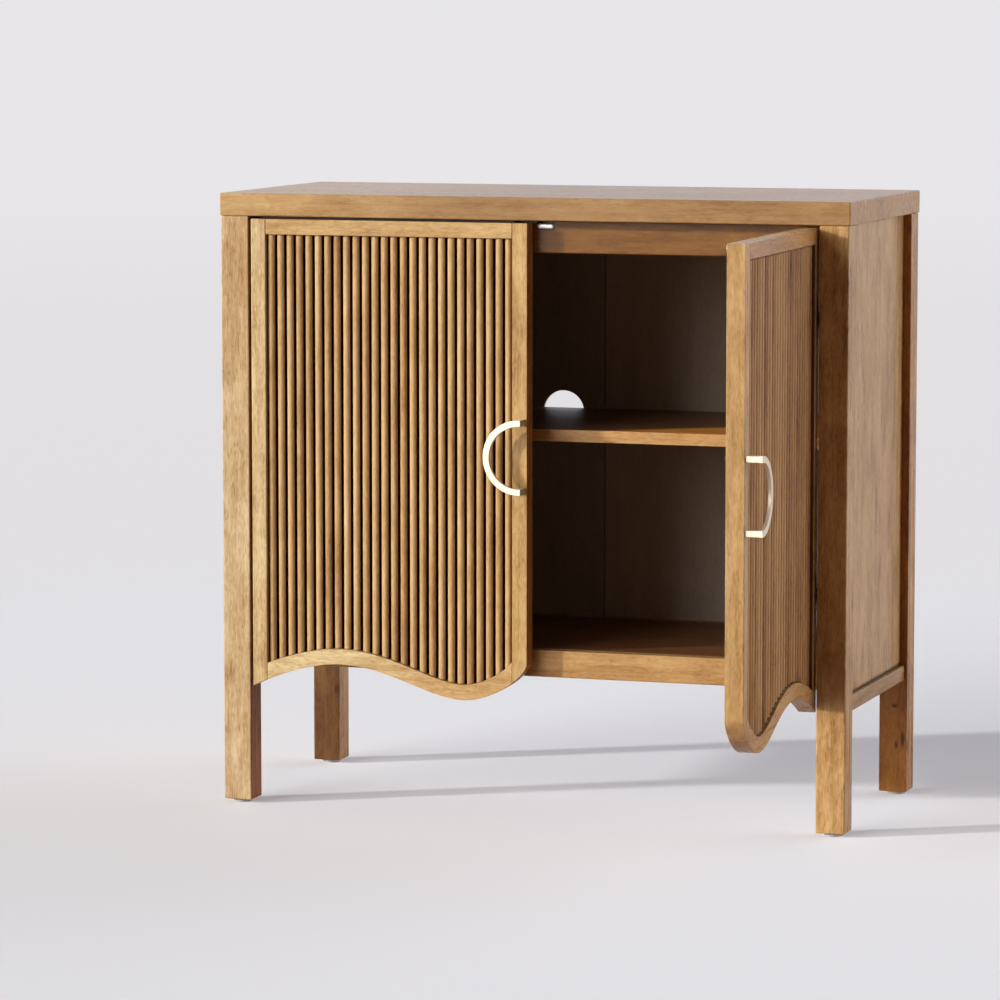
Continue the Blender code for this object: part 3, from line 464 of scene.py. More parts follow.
# painted shade on the side panels, where they meet the rail and the rear leg
panelPaintedShade = [
    faceShade(toFoot, -ledge, 0.0010, 0.0050, (0.22, 0.16, 0.12)),  # painted shade above the rail
    faceShade(toBack, rearFace, 0.0010, 0.0110, (0.78, 0.62, 0.44)),  # painted shade by the rear leg
]
shadesOf = {
    "top_panel": [
        shadeAlong(toRight, -0.36, -0.04, (0.69, 0.63, 0.61)),  # all but its left end
        faceShade(toRight, endGrain, 0.0003, 0.0006, (1.40, 1.48, 1.56)),  # painted light on the end-grain face, as lit from the right
    ],
    "leg_front_left": [
        faceShade(toRight, legInside, 0.0002, 0.0006, (0.58, 0.31, 0.16)),  # painted shade on the inner face
        shadeAlong(toTop, 0.40, 0.62, (0.92, 0.86, 0.81)),  # upper part
    ],
    # painted shadow on the rear left leg's front face
    "leg_rear_left": [faceShade(toFront, -rearFace, 0.0002, 0.0006, (0.34, 0.26, 0.20))],
    "leg_rear_right": [
        # painted shade on the front face beside the recessed panel; the knots after it are the wood's own
        faceShade(toFront, -rearFace, 0.0002, 0.0006, (0.77, 0.56, 0.29)),
        *(knotShade(*spot) for spot in legKnots["spots"]),
    ],
    "side_panel_left": panelPaintedShade,
    "side_panel_right": panelPaintedShade,
    # painted shade on the inner step of the hinge stile, by the hinge
    "right_door_hinge_stile": [faceShade(toFront, -hingeStep, 0.0006, 0.0004, (0.28, 0.22, 0.18))],
    # painted light: a lit wedge over the front right of the shelf, three times brighter than the rest
    "shelf": [shadeAlong((0.75, -1.0, 0.0), 0.04 - shelfFront, 0.08 - shelfFront, (3.6, 3.0, 1.1))],
    "front_top_rail": [  # painted shade on the part over the left door, seen through the gap above it
        {
            "spot": (-0.19, railHigh.y, railHigh.z),
            "half": (0.20, 1.0, 0.03),
            "start": 1.1,
            "end": 0.7,
            "tint": (0.30, 0.26, 0.22),
        },
    ],
    "back_panel_left": [faceShade(toRight, seam, 0.0006, 0.0016, seamTint)],
    "back_panel_right": [faceShade(toLeft, -seam, 0.0, 0.0016, seamTint)],
}


def dress(node, material):
    # one material for a CAD node, in place of its own
    slots = frame["nodes"][node].data.materials
    slots.clear()
    slots.append(material)


slotOf = {part["node"]: part["material_slot"] for part in frame["record"]["subparts"]}
for number, (node, (axis, tint, look, knots)) in enumerate(boards.items()):
    shades = shadesOf.get(node, ())
    dress(node, makeWood(f"{node}_wood", axis, number + 1, tint, look, knots, shades=shades))
for node, slot in slotOf.items():
    if slot in metals or slot in plastics:
        dress(node, darkSteel if "handle_screw" in node else metals.get(slot) or plastics[slot])
print("boards and fittings dressed,", len(boards), "boards")

meshing = {"merge": 1e-6, "sharp": 35.0}  # metres, degrees


def makePiece(name, points, faces, body, material, slot, replaced=(), marks=None):
    # a closed mesh from points and faces, merged at its seams and turned outward; marks are a value a point
    mesh = bpy.data.meshes.new(name)
    mesh.from_pydata(points.reshape(-1, 3).tolist(), [], faces)
    for mark, values in (marks or {}).items():
        layer = mesh.attributes.new(mark, "FLOAT", "POINT")
        layer.data.foreach_set("value", values.reshape(-1).astype(np.float32))
    shape = bmesh.new()
    shape.from_mesh(mesh)
    bmesh.ops.remove_doubles(shape, verts=shape.verts, dist=meshing["merge"])
    bmesh.ops.recalc_face_normals(shape, faces=shape.faces)
    shape.to_mesh(mesh)
    shape.free()
    mesh.shade_smooth()
    mesh.set_sharp_from_angle(angle=math.radians(meshing["sharp"]))
    mesh.materials.append(material)
    piece = bpy.data.objects.new(name, mesh)
    bpy.context.scene.collection.objects.link(piece)
    even = piece.modifiers.new("evenNormals", "WEIGHTED_NORMAL")
    even.keep_sharp = True
    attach(piece, body)
    if replaced:
        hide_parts(*replaced)


def ringFaces(rings, around):
    # quads between closed rings of points, and a face over each end
    ring, step = np.meshgrid(np.arange(rings - 1), np.arange(around), indexing="ij")
    here = ring * around + step
    onward = ring * around + (step + 1) % around
    quads = np.stack([here, onward, onward + around, here + around], -1).reshape(-1, 4).tolist()
    last = (rings - 1) * around
    return quads + [list(range(around)), list(range(last, last + around))]


def joinShapes(shapes):
    # several (points, faces) put end to end in one list
    points, faces, count = [], [], 0
    for shapePoints, shapeFaces in shapes:
        points.append(shapePoints.reshape(-1, 3))
        faces += [[corner + count for corner in face] for face in shapeFaces]
        count += len(points[-1])
    return np.concatenate(points), faces


# Doors: places are distance from the hinge edge, depth behind the face and height above the floor
hingeLow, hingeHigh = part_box("left_door_hinge_stile")
door = {
    "sides": {"left": -1, "right": 1},
    "open": {"left": 0.0, "right": math.radians(91.5)},
    "front": hingeLow.y,
    "hinge": -hingeLow.x,
    "top": hingeHigh.z,
    "width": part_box("left_door_free_stile")[1].x - hingeLow.x,
    "thickness": 0.022,
    "stile": 0.019,
    "stileStations": 60,
    "pinIn": 0.0065,
    "pinBack": 0.0065,
    "gap": 0.0003,
    "round": 0.0007,
    "railRound": 0.0005,
    "roundSteps": 4,
}


def doorPlace(side, along, depth, height):
    # a point of the shut door turned about its hinge pin: pin + turn * (place - pin)
    sign = door["sides"][side]
    turn = sign * door["open"][side]
    x = sign * (door["pinIn"] - along)
    y = depth - door["pinBack"]
    pinX = sign * (door["hinge"] - door["pinIn"])
    pinY = door["front"] + door["pinBack"]
    across = pinX + math.cos(turn) * x - math.sin(turn) * y
    inward = pinY + math.sin(turn) * x + math.cos(turn) * y
    return np.stack(np.broadcast_arrays(across, inward, height), -1)


def roundedRun(start, end, edge, inner):
    # stations along a bar and the inset of its section there: a quarter circle at each end, level between
    turn = np.linspace(0.0, math.pi / 2, door["roundSteps"] + 1)
    rise = edge * (1.0 - np.cos(turn))
    inset = edge * (1.0 - np.sin(turn))
    level = inner[(inner > start + edge) & (inner < end - edge)]
    stations = np.concatenate([start + rise, level, (end - rise)[::-1]])
    insets = np.concatenate([inset, np.zeros(len(level)), inset[::-1]])
    return stations, insets


def barRings(middle, across, half, front, back, edge, inset):
    # rounded-rectangle sections: each corner's centre lies edge inside half, front and back, and its
    # quarter circle has the radius edge - inset
    steps = door["roundSteps"] + 1
    corner = np.repeat(np.arange(4), steps)
    turn = np.pi / 2 * (corner + np.tile(np.linspace(0.0, 1.0, steps), 4))
    sideWay = np.where((corner == 0) | (corner == 3), 1.0, -1.0)
    depthWay = np.where(corner < 2, 1.0, -1.0)
    radius = (edge - inset)[:, None]
    reach = sideWay * (np.asarray(half) - edge)[:, None] + radius * np.cos(turn)
    depth = np.where(depthWay > 0, back - edge, front + edge) + radius * np.sin(turn)
    flat = middle[:, None, :] + across[:, None, :] * reach[..., None]
    return flat[..., 0], depth, flat[..., 1]


def bar(side, middle, across, half, front, back, edge, inset):
    # sections along a line in the plane of a door, turned with the door
    along, depth, height = barRings(middle, across, half, front, back, edge, inset)
    points = doorPlace(side, along, depth, height)
    return points, ringFaces(*along.shape)


def uprightBar(side, start, end, front, back, low, high, edge, inner):
    # a board between two heights that change along the door
    stations, inset = roundedRun(start, end, edge, inner)
    lowest, highest = low(stations), high(stations)
    middle = np.stack([stations, (lowest + highest) / 2], -1)
    upward = np.broadcast_to([0.0, 1.0], middle.shape)
    return bar(side, middle, upward, (highest - lowest) / 2, front, back, edge, inset)


# The wave at the foot of the doors: its crest and dip, its ends, and the pulls of the curve between them
wave = {
    "hingeEnd": 0.1483,
    "hingeSlope": 0.52,
    "hingePull": 0.033,
    "crest": (0.115, 0.1803),
    "crestPulls": (0.035, 0.066),
    "dip": (0.277, 0.1437),
    "dipPulls": (0.049, 0.036),
    "freeEnd": 0.193,
    "freePull": 0.017,
    "steps": 200,
    "stations": 160,
}


def levelKnots(middle, pulls):
    # a knot where the curve runs level, with its pulls before and after it
    along, height = middle
    return [(along - pulls[0], height), (along, height), (along + pulls[1], height)]


def waveLine():
    # three cubic Bezier stretches, sloping at the hinge and upright at the free edge: each the sum of the
    # binomial weights times four knots
    knots = np.array([
        (0.0, wave["hingeEnd"]),
        (wave["hingePull"], wave["hingeEnd"] + wave["hingeSlope"] * wave["hingePull"]),
        *levelKnots(wave["crest"], wave["crestPulls"]),
        *levelKnots(wave["dip"], wave["dipPulls"]),
        (door["width"], wave["freeEnd"] - wave["freePull"]),
        (door["width"], wave["freeEnd"]),
    ])
    t = np.linspace(0.0, 1.0, wave["steps"])[:, None]
    weights = [(1 - t) ** 3, 3 * t * (1 - t) ** 2, 3 * t * t * (1 - t), t**3]
    stretches = [sum(w * k for w, k in zip(weights, knots[i : i + 4])) for i in (0, 3, 6)]
    return np.concatenate([stretches[0], stretches[1][1:], stretches[2][1:]])


def parallelLine(line, distance):
    # the line moved along its left-hand normal, as far as it runs onward
    along = np.gradient(line, axis=0)
    along /= np.linalg.norm(along, axis=1, keepdims=True)
    moved = line + distance * np.stack([-along[:, 1], along[:, 0]], -1)
    return moved[moved[:, 0] >= np.maximum.accumulate(moved[:, 0])]


lowerLine = waveLine()
railLine = parallelLine(lowerLine, door["stile"])
seatLine = parallelLine(lowerLine, door["stile"] + door["gap"])


def lowerEdge(along):
    # height of the wave
    return np.interp(along, lowerLine[:, 0], lowerLine[:, 1])


def railTop(along):
    # height of the wave rail's top
    return np.interp(along, railLine[:, 0], railLine[:, 1])


def reedSeat(along):
    # height of the reeds' feet, a gap above the wave rail
    return np.interp(along, seatLine[:, 0], seatLine[:, 1])


def doorTop(along):
    # the same height all along
    return np.full_like(along, door["top"])


# Reeds: half-round rods on a flat backing
reed = {
    "count": 26,
    "radius": 0.0050,
    "recess": 0.0030,
    "foot": 0.0112,
    "steps": 30,
    "backing": (0.0110, 0.0170),
    "backingRound": 0.0002,
    "tongue": 0.0060,
    "overlap": 0.0010,
    "tone": {"left": 0.10, "right": 0.20},
    "grooveFrom": 0.24,  # painted shade: how far down its side a rod starts to darken, and is darkest
    "grooveTo": 0.44,
    "endDark": {"left": 0.35, "right": 0.80},  # of the groove mark, painted shade where a rod meets the rails
    "endLength": 0.0025,
    "lastFrom": 0.1,  # painted shade across the last rod, beside the free stile, in radii: where it starts to darken, and is darkest
    "lastTo": 0.7,
    "lastDark": 0.5,
    "seed": {"left": 11, "right": 29},
}


def reedShapes(side):
    # one rod per row: profile (radius * cos, crest + radius - radius * sin) from the seat to the top rail;
    # marks: the rod's own tone, and a groove ramp of painted shade, of the share of the way down to the
    # foot, or of a rod's ends, or of the way across the last rod, whichever is more
    turn = np.linspace(math.pi, 0.0, reed["steps"] + 1)
    flank = reed["radius"]
    profile = np.concatenate([[-flank], reed["radius"] * np.cos(turn), [flank]])
    crest = reed["recess"] + reed["radius"] * (1.0 - np.sin(turn))
    depth = np.concatenate([[reed["foot"]], crest, [reed["foot"]]])
    pitch = (door["width"] - 2 * door["stile"]) / reed["count"]
    middle = door["stile"] + pitch * (np.arange(reed["count"]) + 0.5)
    along = middle[:, None] + profile
    low = reedSeat(along)
    high = np.full_like(low, door["top"] - door["stile"] - door["gap"])
    height = np.stack([low, low + reed["endLength"], high - reed["endLength"], high], 1)
    points = doorPlace(side, along[:, None, :], depth, height)
    draw = np.random.default_rng(reed["seed"][side])
    own = reed["tone"][side] * draw.uniform(-1.0, 1.0, reed["count"])
    sunk = (depth - reed["recess"]) / (reed["foot"] - reed["recess"])
    groove = np.clip((sunk - reed["grooveFrom"]) / (reed["grooveTo"] - reed["grooveFrom"]), 0.0, 1.0)
    ends = reed["endDark"][side] * np.array([1.0, 0.0, 0.0, 1.0])
    groove = np.maximum(np.broadcast_to(groove, height.shape), ends[:, None])
    last = (profile / reed["radius"] - reed["lastFrom"]) / (reed["lastTo"] - reed["lastFrom"])
    groove[-1] = np.maximum(groove[-1], reed["lastDark"] * np.clip(last, 0.0, 1.0))
    marks = {"tone": np.broadcast_to(own[:, None, None], height.shape), "groove": groove}
    return [(rod, ringFaces(height.shape[1], len(profile))) for rod in points], marks


# Handles: a flat half ring with short straight ends, on two square posts
handle = {
    "height": 0.445794,
    "radius": 0.046,
    "straight": 0.002,
    "bar": 0.008,
    "thickness": 0.0045,
    "standoff": 0.021,
    "edgeGap": 0.0018,
    "round": 0.0007,
    "post": 0.0074,
    "postInset": 0.0003,
    "steps": 90,
}


def handleShape(side):
    # centre line by arc length: straight, half circle of radius (outer - bar / 2), straight
    end = door["width"] - handle["edgeGap"]
    mid = handle["radius"] - handle["bar"] / 2
    straight = handle["straight"]
    length = 2 * straight + math.pi * mid
    run, inset = roundedRun(0.0, length, handle["round"], np.linspace(0.0, length, handle["steps"]))
    turn = math.pi / 2 + np.clip((run - straight) / mid, 0.0, math.pi)
    lead = np.clip(straight - run, 0.0, None) + np.clip(run - (length - straight), 0.0, None)
    across = np.stack([np.cos(turn), np.sin(turn)], -1)
    middle = np.array([end - straight, handle["height"]]) + mid * across
    middle[:, 0] += lead
    half = np.full(len(run), handle["bar"] / 2)
    front = -handle["standoff"]
    ring = bar(side, middle, across, half, front, front + handle["thickness"], handle["round"], inset)
    posts = []
    postEnd = end - handle["postInset"]
    for way in (1, -1):
        height = handle["height"] + way * mid
        post = uprightBar(
            side, postEnd - handle["post"], postEnd, front + handle["thickness"] / 2, -door["gap"],
            lambda along: np.full_like(along, height - handle["post"] / 2),
            lambda along: np.full_like(along, height + handle["post"] / 2),
            handle["round"], np.array([]),
        )
        posts.append(post)
    return joinShapes([ring, *posts])


# Woods of the doors' own pieces
freeEdge = door["width"] - door["hinge"]  # of the shut left door
woodSeeds = {"reeds": 41, "backing": 43, "waveRail": 45, "freeStile": 47}
doorWoods = {
    "left": {
        "grainAcross": "x",
        "reeds": (1.03, 1.07, 1.18),
        "backing": (0.7, 0.7, 0.7),
        "waveRail": (1.26, 1.54, 1.98),
        "freeStile": (1.04, 1.08, 1.06),
        # painted light: the wave rail is darker towards its dip, for light that falls brighter at the left
        "railPaintedLight": [shadeAlong(toRight, -0.22, -0.10, (0.88, 0.75, 0.615))],
        # painted shade on the face of the free edge
        "stilePaintedShade": [faceShade(toRight, freeEdge, 0.0003, 0.0006, (0.80, 0.66, 0.62))],
    },
    "right": {
        "grainAcross": "y",
        "reeds": (0.89, 0.77, 0.61),
        "backing": (0.7, 0.7, 0.7),
        "waveRail": (1.00, 0.92, 0.84),
        "freeStile": (0.98, 0.98, 0.99),
        "railPaintedLight": (),
        "stilePaintedShade": (),
    },
}


def makeDoor(side, number):
    # reeds, their backing, the wave rail, the free stile and the handle, in the places of the shut door
    woods = doorWoods[side]
    body = f"{side}_door"
    node = f"{side}_door_"
    start, end = door["stile"] + door["gap"], door["width"] - door["stile"] - door["gap"]
    stileStart = door["width"] - door["stile"]
    even = np.linspace(start, end, wave["stations"])
    dense = door["width"] - door["stile"] * np.linspace(1.0, 0.0, door["stileStations"]) ** 2

    def wood(name, kind, axis, look, **more):
        # a wood of its own for one piece of this door
        return makeWood(f"{side}{name}Wood", axis, woodSeeds[kind] + number, woods[kind], look, **more)

    shapes, marks = reedShapes(side)
    makePiece(
        f"{side}Reeds", *joinShapes(shapes), body, wood("Reed", "reeds", "z", reedLook, toned=True),
        "stained_wood", [node + "reeded_panel"], marks,
    )
    backing = uprightBar(
        side, door["stile"] - reed["tongue"], stileStart + reed["overlap"], *reed["backing"], reedSeat,
        lambda along: doorTop(along) - door["stile"] + reed["tongue"], reed["backingRound"], even,
    )
    rings, around = backing[0].shape[:2]
    # painted shade: the backing's front takes the whole groove mark, near black between the rods
    front = np.where(np.arange(around) < around // 2, 0.0, 1.0)  # the rings start on the back
    makePiece(
        f"{side}Backing", *backing, body, wood("Backing", "backing", "z", innerLook, toned=True),
        "stained_wood", marks={"tone": np.zeros(rings * around), "groove": np.tile(front, rings)},
    )
    rail = uprightBar(side, start, end, 0.0, door["thickness"], lowerEdge, railTop, door["railRound"], even)
    makePiece(
        f"{side}WaveRail", *rail, body,
        wood("WaveRail", "waveRail", woods["grainAcross"], stainLook, shades=woods["railPaintedLight"]),
        "stained_wood", [node + "wave_rail"],
    )
    stile = uprightBar(
        side, stileStart, door["width"], 0.0, door["thickness"], lowerEdge, doorTop, door["round"], dense,
    )
    makePiece(
        f"{side}FreeStile", *stile, body,
        wood("FreeStile", "freeStile", "z", stainLook, shades=woods["stilePaintedShade"]),
        "stained_wood", [node + "free_stile"],
    )
    makePiece(
        f"{side}Handle", *handleShape(side), body, metals["champagne_metal"], "champagne_metal",
        [node + "handle"],
    )


for number, side in enumerate(door["sides"]):
    makeDoor(side, number)
print("doors made")

# Glides: turned discs under the legs
glide = {
    "radius": 0.012,
    "height": 0.004,
    "round": 0.001,
    "rimPoints": 6,
    "spigot": 0.003,
    "spigotTop": 0.018,
    "steps": 48,
}


def turnedShape(profile, steps):
    # the profile (radius, height) carried round the z axis
    turn = np.linspace(0.0, 2 * math.pi, steps, endpoint=False)
    radius, height = profile[:, :1], profile[:, 1:]
    points = np.stack(np.broadcast_arrays(radius * np.cos(turn), radius * np.sin(turn), height), -1)
    return points, ringFaces(len(profile), steps)


def glideProfile():
    # flat sole, quarter-round rim above and below, then the spigot
    turn = np.linspace(-math.pi / 2, 0.0, glide["rimPoints"])
    rim = glide["radius"] - glide["round"]
    lower = np.stack([rim + glide["round"] * np.cos(turn), glide["round"] * (1.0 + np.sin(turn))], -1)
    upper = lower[::-1] * [1.0, -1.0] + [0.0, glide["height"]]
    spigot = [(glide["spigot"], glide["height"]), (glide["spigot"], glide["spigotTop"])]
    return np.concatenate([lower, upper, spigot])


for corner in ("front_left", "front_right", "rear_left", "rear_right"):
    node = f"glide_{corner}"
    low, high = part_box(node)
    points, faces = turnedShape(glideProfile(), glide["steps"])
    points = points + [(low.x + high.x) / 2, (low.y + high.y) / 2, low.z]
    name = "glide" + corner.title().replace("_", "")
    makePiece(name, points, faces, "cabinet", plastics["glide_plastic"], "glide_plastic", [node])
print("glides made")

# Screws: a domed head with a cross recess, in shares of its radius and height
screw = {
    "steps": 64,
    "rings": 22,
    "slot": 0.17,
    "slotWall": 0.06,
    "reach": 0.62,
    "reachWall": 0.08,
    "depth": 0.62,
    "rim": 0.35,
}


def screwShape(radius, height):
    # height * (rim + (1 - rim) * (1 - (r / R)^4)) minus a cross recess that eases out over its walls
    share = np.linspace(1.0, 0.0, screw["rings"])[:, None]
    turn = np.linspace(0.0, 2 * math.pi, screw["steps"], endpoint=False)
    u, v = share * np.cos(turn), share * np.sin(turn)
    thin = np.minimum(np.abs(u), np.abs(v))
    long = np.maximum(np.abs(u), np.abs(v))
    slot = np.clip((screw["slot"] - thin) / screw["slotWall"], 0.0, 1.0)
    recess = slot * np.clip((screw["reach"] - long) / screw["reachWall"], 0.0, 1.0)
    dome = screw["rim"] + (1.0 - screw["rim"]) * (1.0 - share**4)
    top = height * (dome - screw["depth"] * recess)
    rim = np.stack([np.cos(turn) * radius, np.sin(turn) * radius, np.zeros_like(turn)], -1)[None]
    points = np.concatenate([rim, np.stack([u * radius, v * radius, top], -1)])
    return points, ringFaces(len(points), screw["steps"])


def screwAt(place, outward, facts, spin):
    # the head turned so that its axis points outward, and spun about it
    points, faces = screwShape(facts["radius"], facts["height"])
    outward = np.array(outward, float)
    first = np.cross(outward, [0.0, 0.0, 1.0])
    second = np.cross(outward, first)
    turned = math.cos(spin) * first + math.sin(spin) * second
    aside = np.cross(outward, turned)
    return points @ np.stack([turned, aside, outward]) + np.array(place), faces


hingeScrew = {
    "radius": 0.0028,
    "height": 0.0014,
    "plate": 0.0025,
    "fromFront": 0.0295,
    "fromMiddle": 0.0155,
    "spin": 0.4,
}
heads = []
for side, sign in door["sides"].items():
    face = sign * (-legInside - door["gap"] - hingeScrew["plate"])
    for number, level in enumerate(("upper", "lower")):
        low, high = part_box(f"{side}_hinge_arm_{level}")
        for way in (1, -1):
            height = (low.z + high.z) / 2 + way * hingeScrew["fromMiddle"]
            spot = (face, door["front"] + hingeScrew["fromFront"], height)
            heads.append(screwAt(spot, (-sign, 0, 0), hingeScrew, hingeScrew["spin"] + way + number))
makePiece("hingePlateScrews", *joinShapes(heads), "cabinet", metals["steel"], "steel")

backScrew = {"radius": 0.0032, "height": 0.0009, "fromEdge": 0.006, "fromEnd": 0.02, "rows": 5, "spin": 2}
backLow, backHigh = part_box("back_panel_left")
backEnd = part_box("back_panel_right")[1]
columns = (backLow.x + backScrew["fromEdge"], backEnd.x - backScrew["fromEdge"])
rows = np.linspace(backLow.z + backScrew["fromEnd"], backHigh.z - backScrew["fromEnd"], backScrew["rows"])
heads = []
for column, x in enumerate(columns):
    for row, z in enumerate(rows):
        spin = row + backScrew["spin"] * column
        heads.append(screwAt((x, backHigh.y, z), (0, 1, 0), backScrew, spin))
makePiece("backPanelScrews", *joinShapes(heads), "cabinet", metals["steel"], "steel")
print("screws made")

# Shelf edge: a stained strip along the front of the shelf
shelfEdge = {
    "proud": 0.0005,
    "depth": 0.0015,
    "fromFaces": 0.0002,
    "fromEnds": 0.0010,
    "round": 0.0006,
    "seed": 53,
    "tint": (0.95, 0.86, 0.78),
}


def board(low, high, edge):
    # a straight board between two corners: a rounded section carried along x
    stations, inset = roundedRun(low[0], high[0], edge, np.array([]))
    middle = np.stack([stations, np.full_like(stations, (low[2] + high[2]) / 2)], -1)
    upward = np.broadcast_to([0.0, 1.0], middle.shape)
    half = np.full(len(stations), (high[2] - low[2]) / 2)
    along, depth, height = barRings(middle, upward, half, low[1], high[1], edge, inset)
    return np.stack([along, depth, height], -1), ringFaces(*along.shape)


low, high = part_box("shelf")
strip = board(
    (low.x + shelfEdge["fromEnds"], low.y - shelfEdge["proud"], low.z + shelfEdge["fromFaces"]),
    (high.x - shelfEdge["fromEnds"], low.y + shelfEdge["depth"], high.z - shelfEdge["fromFaces"]),
    shelfEdge["round"],
)
edgeWood = makeWood("shelfEdgeWood", "x", shelfEdge["seed"], shelfEdge["tint"], stainLook)
makePiece("shelfEdge", *strip, "cabinet", edgeWood, "stained_wood")
print("shelf edge made")

# Catches: a rounded body with a polished plate on its face, and a domed plate on the door for it to hold;
# rises are pairs of inset and rise
catch = {
    "width": 0.0218,
    "height": 0.0066,
    "foot": 0.0002,
    "rises": [(0.0008, -0.0136), (0.0, -0.0128), (0.0, -0.0009), (0.0003, -0.0003), (0.0009, 0.0)],
}
pole = {
    "width": 0.0180,
    "height": 0.0040,
    "rises": [(0.0, -0.0006), (0.0, 0.0001), (0.0003, 0.0002)],
}
strike = {
    "width": 0.0215,
    "height": 0.0095,
    "along": 0.3449,
    "below": 0.0060,
    "depth": 0.0223,
    "rises": [(0.0, 0.0), (0.0001, 0.0005), (0.0006, 0.0009), (0.0015, 0.0011), (0.0030, 0.0012)],
}
pillSteps = 64


def pillShape(facts):
    # half circles joined by straights, (width - height) / 2 either way, at each inset and rise
    turn = (np.arange(pillSteps) + 0.5) * 2 * math.pi / pillSteps
    inset, rise = np.array(facts["rises"]).T[..., None]
    radius = facts["height"] / 2 - inset
    along = (facts["width"] - facts["height"]) / 2 * np.sign(np.cos(turn)) + radius * np.cos(turn)
    return along, radius * np.sin(turn), np.broadcast_to(rise, along.shape), ringFaces(len(rise), pillSteps)


for side in door["sides"]:
    node = f"catch_{side}"
    low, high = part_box(node)
    middle = (low.x + high.x) / 2
    level = low.z + catch["foot"] + catch["height"] / 2
    along, upward, rise, faces = pillShape(catch)
    points = np.stack([middle + along, low.y - rise, level + upward], -1)
    makePiece(f"{side}Catch", points, faces, "cabinet", plastics["white_plastic"], "white_plastic", [node])
    along, upward, rise, faces = pillShape(pole)
    points = np.stack([middle + along, low.y - rise, level + upward], -1)
    makePiece(f"{side}CatchPlate", points, faces, "cabinet", polishedSteel, "steel")
    along, upward, rise, faces = pillShape(strike)
    height = door["top"] - strike["below"] + upward
    points = doorPlace(side, strike["along"] + along, strike["depth"] + rise, height)
    node = f"{side}_door_strike_plate"
    makePiece(f"{side}StrikePlate", points, faces, f"{side}_door", metals["steel"], "steel", [node])
print("catches made")

# Floor, backdrop, light and camera
stage = {
    "floorHalf": 20.0,
    "floorAlbedo": (0.77, 0.765, 0.775),
    "floorBounce": (0.46, 0.30, 0.24),
    "floorGlow": 0.28,
    "pale": (0.805, 0.79, 0.81),
    "distant": (0.755, 0.74, 0.76),
    "nearEnd": 1.6,
    "farStart": 3.2,
    "fill": 0.03,
    "fillSide": 8.5,
    "fillWay": (0.82, 0.57, 0.0),
    "fillTint": (1.03, 1.03, 1.15),
    "sheen": (0.89, 0.89, 0.95),
    "gloss": 0.65,  # of the sheen in front, whole behind
    "glossFrom": -0.35,
    "glossTo": 0.25,
}
lamps = {
    "key": {"level": 1.10, "heading": 32.0, "height": 14.0, "size": 3.3},
    "soft": {"level": 0.86, "heading": 56.0, "height": 13.0, "size": 45.0},
}
view = {
    "sensor": 36.0,
    "lens": 168.455,
    "far": 200.0,
    "eye": (1.763, -5.3633, 1.0157),
    "down": 6.29345,  # degrees, as the heading
    "heading": 18.5464,
}


def makeFloor():
    # near: lit paint, with a glow for the camera; far: a flat backdrop, mixed in by ease(distance)
    half = stage["floorHalf"]
    corners = [(-half, -half, 0), (half, -half, 0), (half, half, 0), (-half, half, 0)]
    mesh = bpy.data.meshes.new("floor")
    mesh.from_pydata(corners, [], [(0, 1, 2, 3)])
    floor = bpy.data.objects.new("floor", mesh)
    bpy.context.scene.collection.objects.link(floor)
    material, bench = newMaterial("floorPaint")
    away = bench.length(bench.add("ShaderNodeTexCoord", None, None, "Object"))
    far = bench.ease(away, stage["nearEnd"], stage["farStart"])
    seen = bench.add("ShaderNodeLightPath", None, None, "Is Camera Ray")
    colour = bench.between(seen.twin("Is Diffuse Ray"), stage["floorAlbedo"], stage["floorBounce"])
    paint = bench.add("ShaderNodeBsdfDiffuse", None, {"Color": colour})
    sockets = {"Color": (*stage["pale"], 1.0), "Strength": seen * stage["floorGlow"]}
    glow = bench.add("ShaderNodeEmission", None, sockets)
    near = bench.add("ShaderNodeAddShader", None, {0: paint, 1: glow})
    further = bench.ease(away, stage["farStart"], stage["floorHalf"])
    colour = bench.between(further, stage["distant"], stage["pale"])
    backdrop = bench.add("ShaderNodeEmission", None, {"Color": colour})
    shader = bench.add("ShaderNodeMixShader", None, {0: far * seen, 1: near, 2: backdrop})
    bench.add("ShaderNodeOutputMaterial", None, {"Surface": shader})
    mesh.materials.append(material)


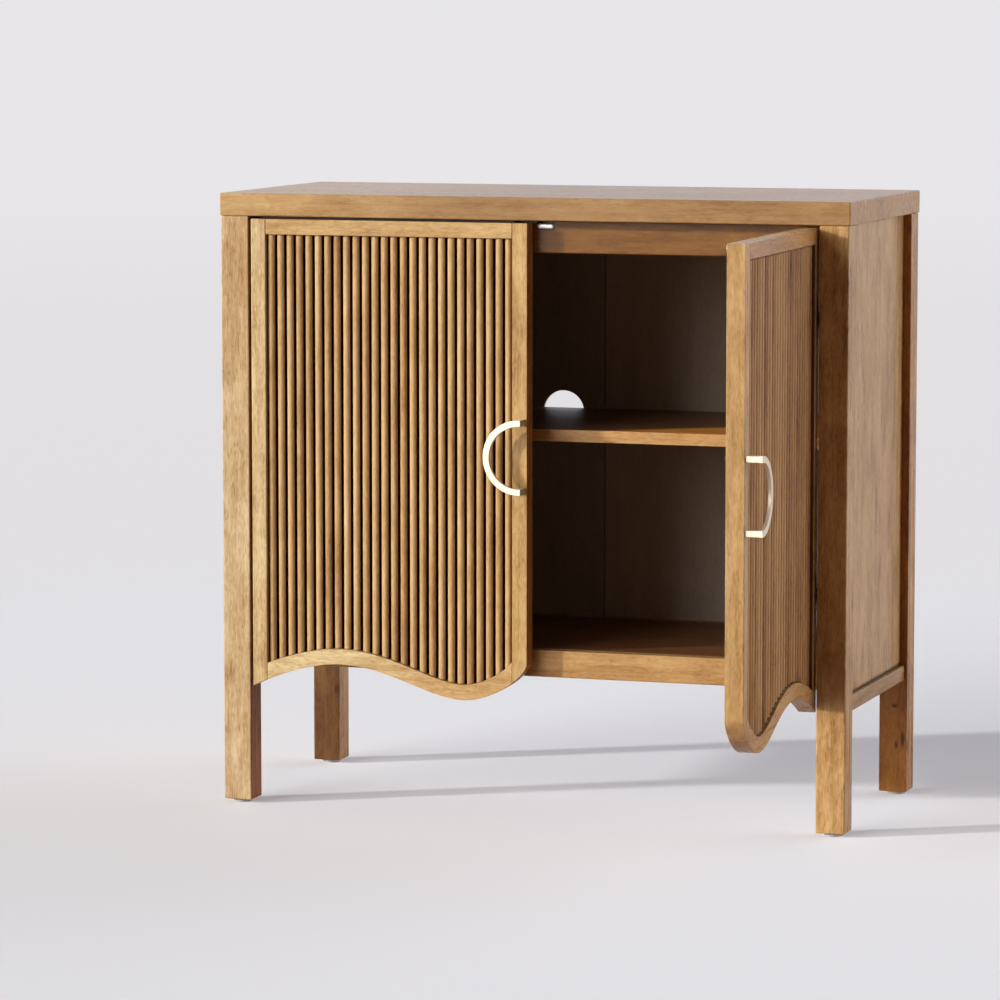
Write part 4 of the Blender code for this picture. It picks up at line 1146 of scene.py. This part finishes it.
def makeWorld():
    # fill for diffuse rays = level + side * max(0, way . direction)^4 * (1 - z)^2, a soft wall low on one
    # side; the camera sees the pale backdrop, and gloss sees a sheen behind the object and less in front
    world = bpy.data.worlds.new("studio")
    world.use_nodes = True
    bench = Bench(world.node_tree)

    def background(tint, strength=1.0):
        # light of one tint from every way
        return bench.add("ShaderNodeBackground", None, {"Color": (*tint, 1.0), "Strength": strength})

    way = bench.add("ShaderNodeTexCoord", None, None, "Generated")
    part = bench.add("ShaderNodeSeparateXYZ", None, {0: way})
    lobe = bench.math("MAXIMUM", bench.along(way, stage["fillWay"]), 0.0)
    low = lobe * lobe * (1.0 - part.twin("Z"))
    soft = background(stage["fillTint"], stage["fill"] + stage["fillSide"] * (low * low))
    behind = bench.ease(part.twin("Y"), stage["glossFrom"], stage["glossTo"], stage["gloss"], 1.0)
    sheen = background(stage["sheen"], behind)
    camera = bench.add("ShaderNodeLightPath", None, None, "Is Camera Ray")
    seen = bench.math("MAXIMUM", camera, camera.twin("Is Transmission Ray"))
    lit = bench.add("ShaderNodeMixShader", None, {0: camera.twin("Is Glossy Ray"), 1: soft, 2: sheen})
    shader = bench.add("ShaderNodeMixShader", None, {0: seen, 1: lit, 2: background(stage["pale"])})
    bench.add("ShaderNodeOutputWorld", None, {"Surface": shader})
    bpy.context.scene.world = world


def makeLamps():
    # suns of strength level * pi, as high and as far round as their angles say
    for name, facts in lamps.items():
        lamp = bpy.data.lights.new(name, "SUN")
        lamp.energy = facts["level"] * math.pi
        lamp.angle = math.radians(facts["size"])
        sun = bpy.data.objects.new(name, lamp)
        tilt, turn = math.radians(90.0 - facts["height"]), math.radians(facts["heading"] - 90.0)
        sun.rotation_euler = (tilt, 0.0, turn)
        bpy.context.scene.collection.objects.link(sun)


def makeCamera():
    # a camera at the eye, turned from level by its heading and its angle down
    lens = bpy.data.cameras.new("view")
    lens.sensor_width = view["sensor"]
    lens.lens = view["lens"]
    lens.clip_end = view["far"]
    camera = bpy.data.objects.new("view", lens)
    camera.location = view["eye"]
    camera.rotation_euler = (math.radians(90.0 - view["down"]), 0.0, math.radians(view["heading"]))
    bpy.context.scene.collection.objects.link(camera)
    bpy.context.scene.camera = camera


makeFloor()
makeWorld()
makeLamps()
makeCamera()
bpy.context.scene.view_settings.view_transform = "Standard"
print("stage set")
